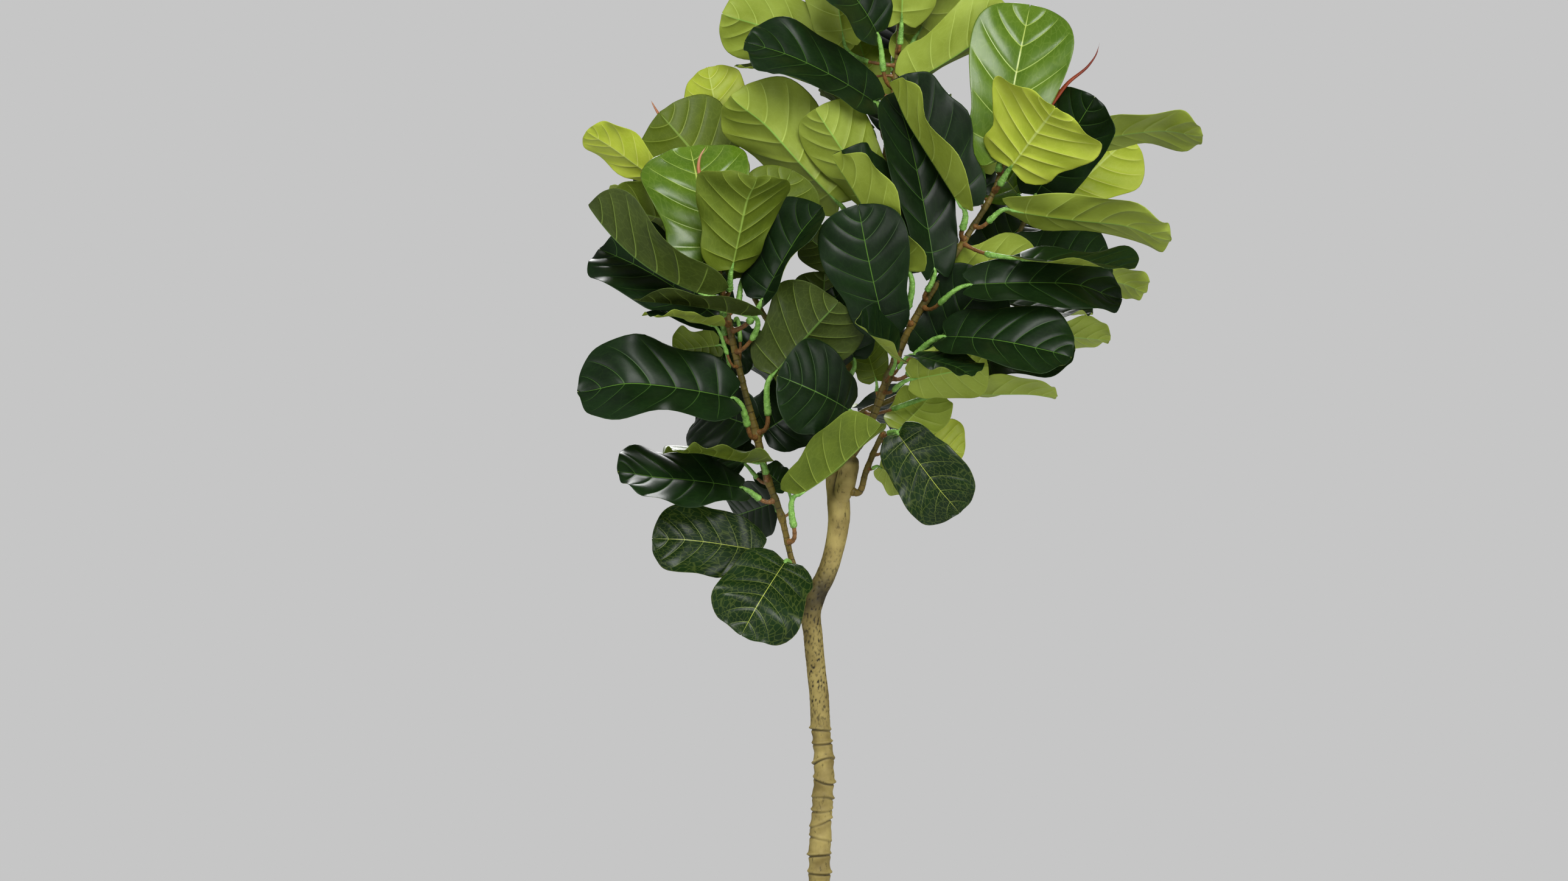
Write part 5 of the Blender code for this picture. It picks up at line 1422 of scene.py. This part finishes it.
PEAT = peat_finish("peat_potting_mix_loose", "#4A3626", "#241A12")
rings, angles = np.linspace(0.004, 1.0, SOIL_RINGS)[:, None], turn_angles(SOIL_SIDES)[None, :]
edge = inner_radius(SOIL_TOP) - SOIL_GAP
x, y = rings * np.cos(angles) * edge, rings * np.sin(angles) * edge
flat = np.stack([x, y, np.zeros_like(x)], axis=2).reshape(-1, 3)
height = (SOIL_TOP + SOIL_MOUND * (1 - rings ** 2) * np.ones_like(x)).ravel()
rest = (1 - ramp(0.93, 1.0, rings) * np.ones_like(x)).ravel()
height += rest * sum(rise * noise_on(flat, size, seed) for rise, size, seed in HEAPS) - 0.001
top = np.column_stack([flat[:, :2], height])
foot = inner_radius(SOIL_FOOT) - SOIL_GAP
skirt = np.column_stack([(np.cos(angles) * foot).ravel(), (np.sin(angles) * foot).ravel(),
                         np.full(SOIL_SIDES, SOIL_FOOT)])
points = np.concatenate([top, skirt])
faces = outward(points, strip_faces(SOIL_RINGS + 1, SOIL_SIDES))
soil = make_piece("peat_bed", points, faces, points[:, :2], [0] * len(faces), [PEAT])
settle(soil, "soil")
print("soil faces:", len(soil.data.polygons), "highest point:", round(float(height.max()), 4))

# %% [markdown]
# Crumbs of peat and bark lie on the bed. They repeat at random over a surface, so a Geometry
# Nodes tree scatters them: points on the upward faces, a low ball on each, turned and stretched
# at random from one fixed seed.

# %% Crumb tree
crumb_tree, group, _ = new_tree("scattered_crumbs", "Bed", "Crumbs", {
    "Crumbs to the square metre": 17000.0, "Smallest": 0.0009, "Largest": 0.0036, "Seed": 7})
upright = add(crumb_tree, "ShaderNodeSeparateXYZ", {}, {0: add(crumb_tree, "GeometryNodeInputNormal")}, 2)
facing_up = add(crumb_tree, "ShaderNodeMath", {"operation": "GREATER_THAN"}, {0: upright, 1: 0.5})
points_on = add(crumb_tree, "GeometryNodeDistributePointsOnFaces", {},
                {"Mesh": group.outputs["Bed"], "Selection": facing_up,
                 "Density": group.outputs["Crumbs to the square metre"], "Seed": group.outputs["Seed"]})
ball = add(crumb_tree, "GeometryNodeMeshIcoSphere", {}, {"Radius": 1.0, "Subdivisions": 1})
spin = add(crumb_tree, "FunctionNodeRandomValue", {"data_type": "FLOAT_VECTOR"},
           {0: (0.0, 0.0, 0.0), 1: (6.28, 6.28, 6.28), "Seed": 3})
lengths = add(crumb_tree, "FunctionNodeRandomValue", {"data_type": "FLOAT"},
              {2: group.outputs["Smallest"], 3: group.outputs["Largest"], "Seed": 5}, 1)
stretch = add(crumb_tree, "FunctionNodeRandomValue", {"data_type": "FLOAT_VECTOR"},
              {0: (0.5, 0.5, 0.4), 1: (1.4, 1.0, 0.9), "Seed": 9})
scale = add(crumb_tree, "ShaderNodeVectorMath", {"operation": "SCALE"}, {0: stretch, "Scale": lengths})
placed = add(crumb_tree, "GeometryNodeInstanceOnPoints", {},
             {"Points": points_on, "Instance": ball, "Rotation": spin, "Scale": scale})
painted_output(crumb_tree, "Crumbs", placed, PEAT)
crumbs = grown("peat_crumbs", soil.data.copy(), crumb_tree, {})
settle(crumbs, None)
print("crumb faces:", len(crumbs.data.polygons))

# %% [markdown]
# ## Floor, light and camera
# The plant stands on a plain pale disc. The sky that lights it is a middle grey, and the camera
# sees a paler one behind it. A big soft light high in front shapes the leaves, weaker ones on
# the left and the right fill the shadows, and one high behind gives the leaf edges their shine.
# The camera is level, eight metres off, with a long lens, so the crown shows with almost no
# perspective.

# %% Floor
FLOOR_RADIUS, FLOOR_SIDES = 2.4, 128
angles = turn_angles(FLOOR_SIDES)
points = np.column_stack([np.cos(angles), np.sin(angles), np.zeros(FLOOR_SIDES)]) * FLOOR_RADIUS
mesh = bpy.data.meshes.new("floor")
mesh.from_pydata(points.tolist(), [], [tuple(range(FLOOR_SIDES))])
floor_paint, *_ = new_finish("studio_floor_painted_matt", Base_Color=linear("#CFCFCF"), Roughness=0.9)
mesh.materials.append(floor_paint)
floor = bpy.data.objects.new("floor", mesh)
bpy.context.scene.collection.objects.link(floor)
print("floor:", floor.name, "radius:", FLOOR_RADIUS)

# %% Sky and lights
world = bpy.data.worlds.new("studio")
world.use_nodes = True
sky = world.node_tree.nodes["Background"]
sky.inputs["Color"].default_value = linear("#7E7E7E")
backdrop = add(world.node_tree, "ShaderNodeBackground", {}, {"Color": linear("#C6C6C6")})
seen = add(world.node_tree, "ShaderNodeLightPath")
both = add(world.node_tree, "ShaderNodeMixShader", {}, {0: seen, 1: sky.outputs[0], 2: backdrop})
world.node_tree.links.new(both, world.node_tree.nodes["World Output"].inputs["Surface"])
bpy.context.scene.world = world
bpy.context.scene.view_settings.view_transform = "Standard"


CROWN_MIDDLE = Vector((0.0, 0.0, 1.25))      # m, where every light aims
LIGHTS = (                                   # place and size in metres, power in watts
    ("key", (0.4, -4.0, 3.6), 2.4, 160), ("left", (-3.2, -2.6, 1.4), 2.0, 40),
    ("right", (3.2, -2.6, 1.2), 2.0, 48), ("edge", (0.0, 2.8, 3.2), 1.6, 80),
)
for name, place, size, power in LIGHTS:
    data = bpy.data.lights.new(name, "AREA")
    data.shape, data.size, data.energy = "DISK", size, power
    lamp = bpy.data.objects.new(name, data)
    lamp.location = place
    lamp.rotation_euler = (CROWN_MIDDLE - Vector(place)).to_track_quat("-Z", "Y").to_euler()
    bpy.context.scene.collection.objects.link(lamp)
print("lights:", ", ".join(name for name, *_ in LIGHTS))

# %% Camera
CAMERA_PLACE = (-0.0496, -8.0, 0.9693)       # m
FILM_WIDTH, FOCAL_LENGTH = 36.0, 128.5       # mm
lens = bpy.data.cameras.new("camera")
lens.sensor_width, lens.lens = FILM_WIDTH, FOCAL_LENGTH
camera = bpy.data.objects.new("camera", lens)
camera.location = CAMERA_PLACE
camera.rotation_euler = (math.pi / 2, 0.0, 0.0)
bpy.context.scene.collection.objects.link(camera)
bpy.context.scene.camera = camera
print("camera:", CAMERA_PLACE, "focal length:", FOCAL_LENGTH)

# %% Sizes and the end
print("cad box:", [round(v, 3) for v in (*cad_low, *cad_high)])
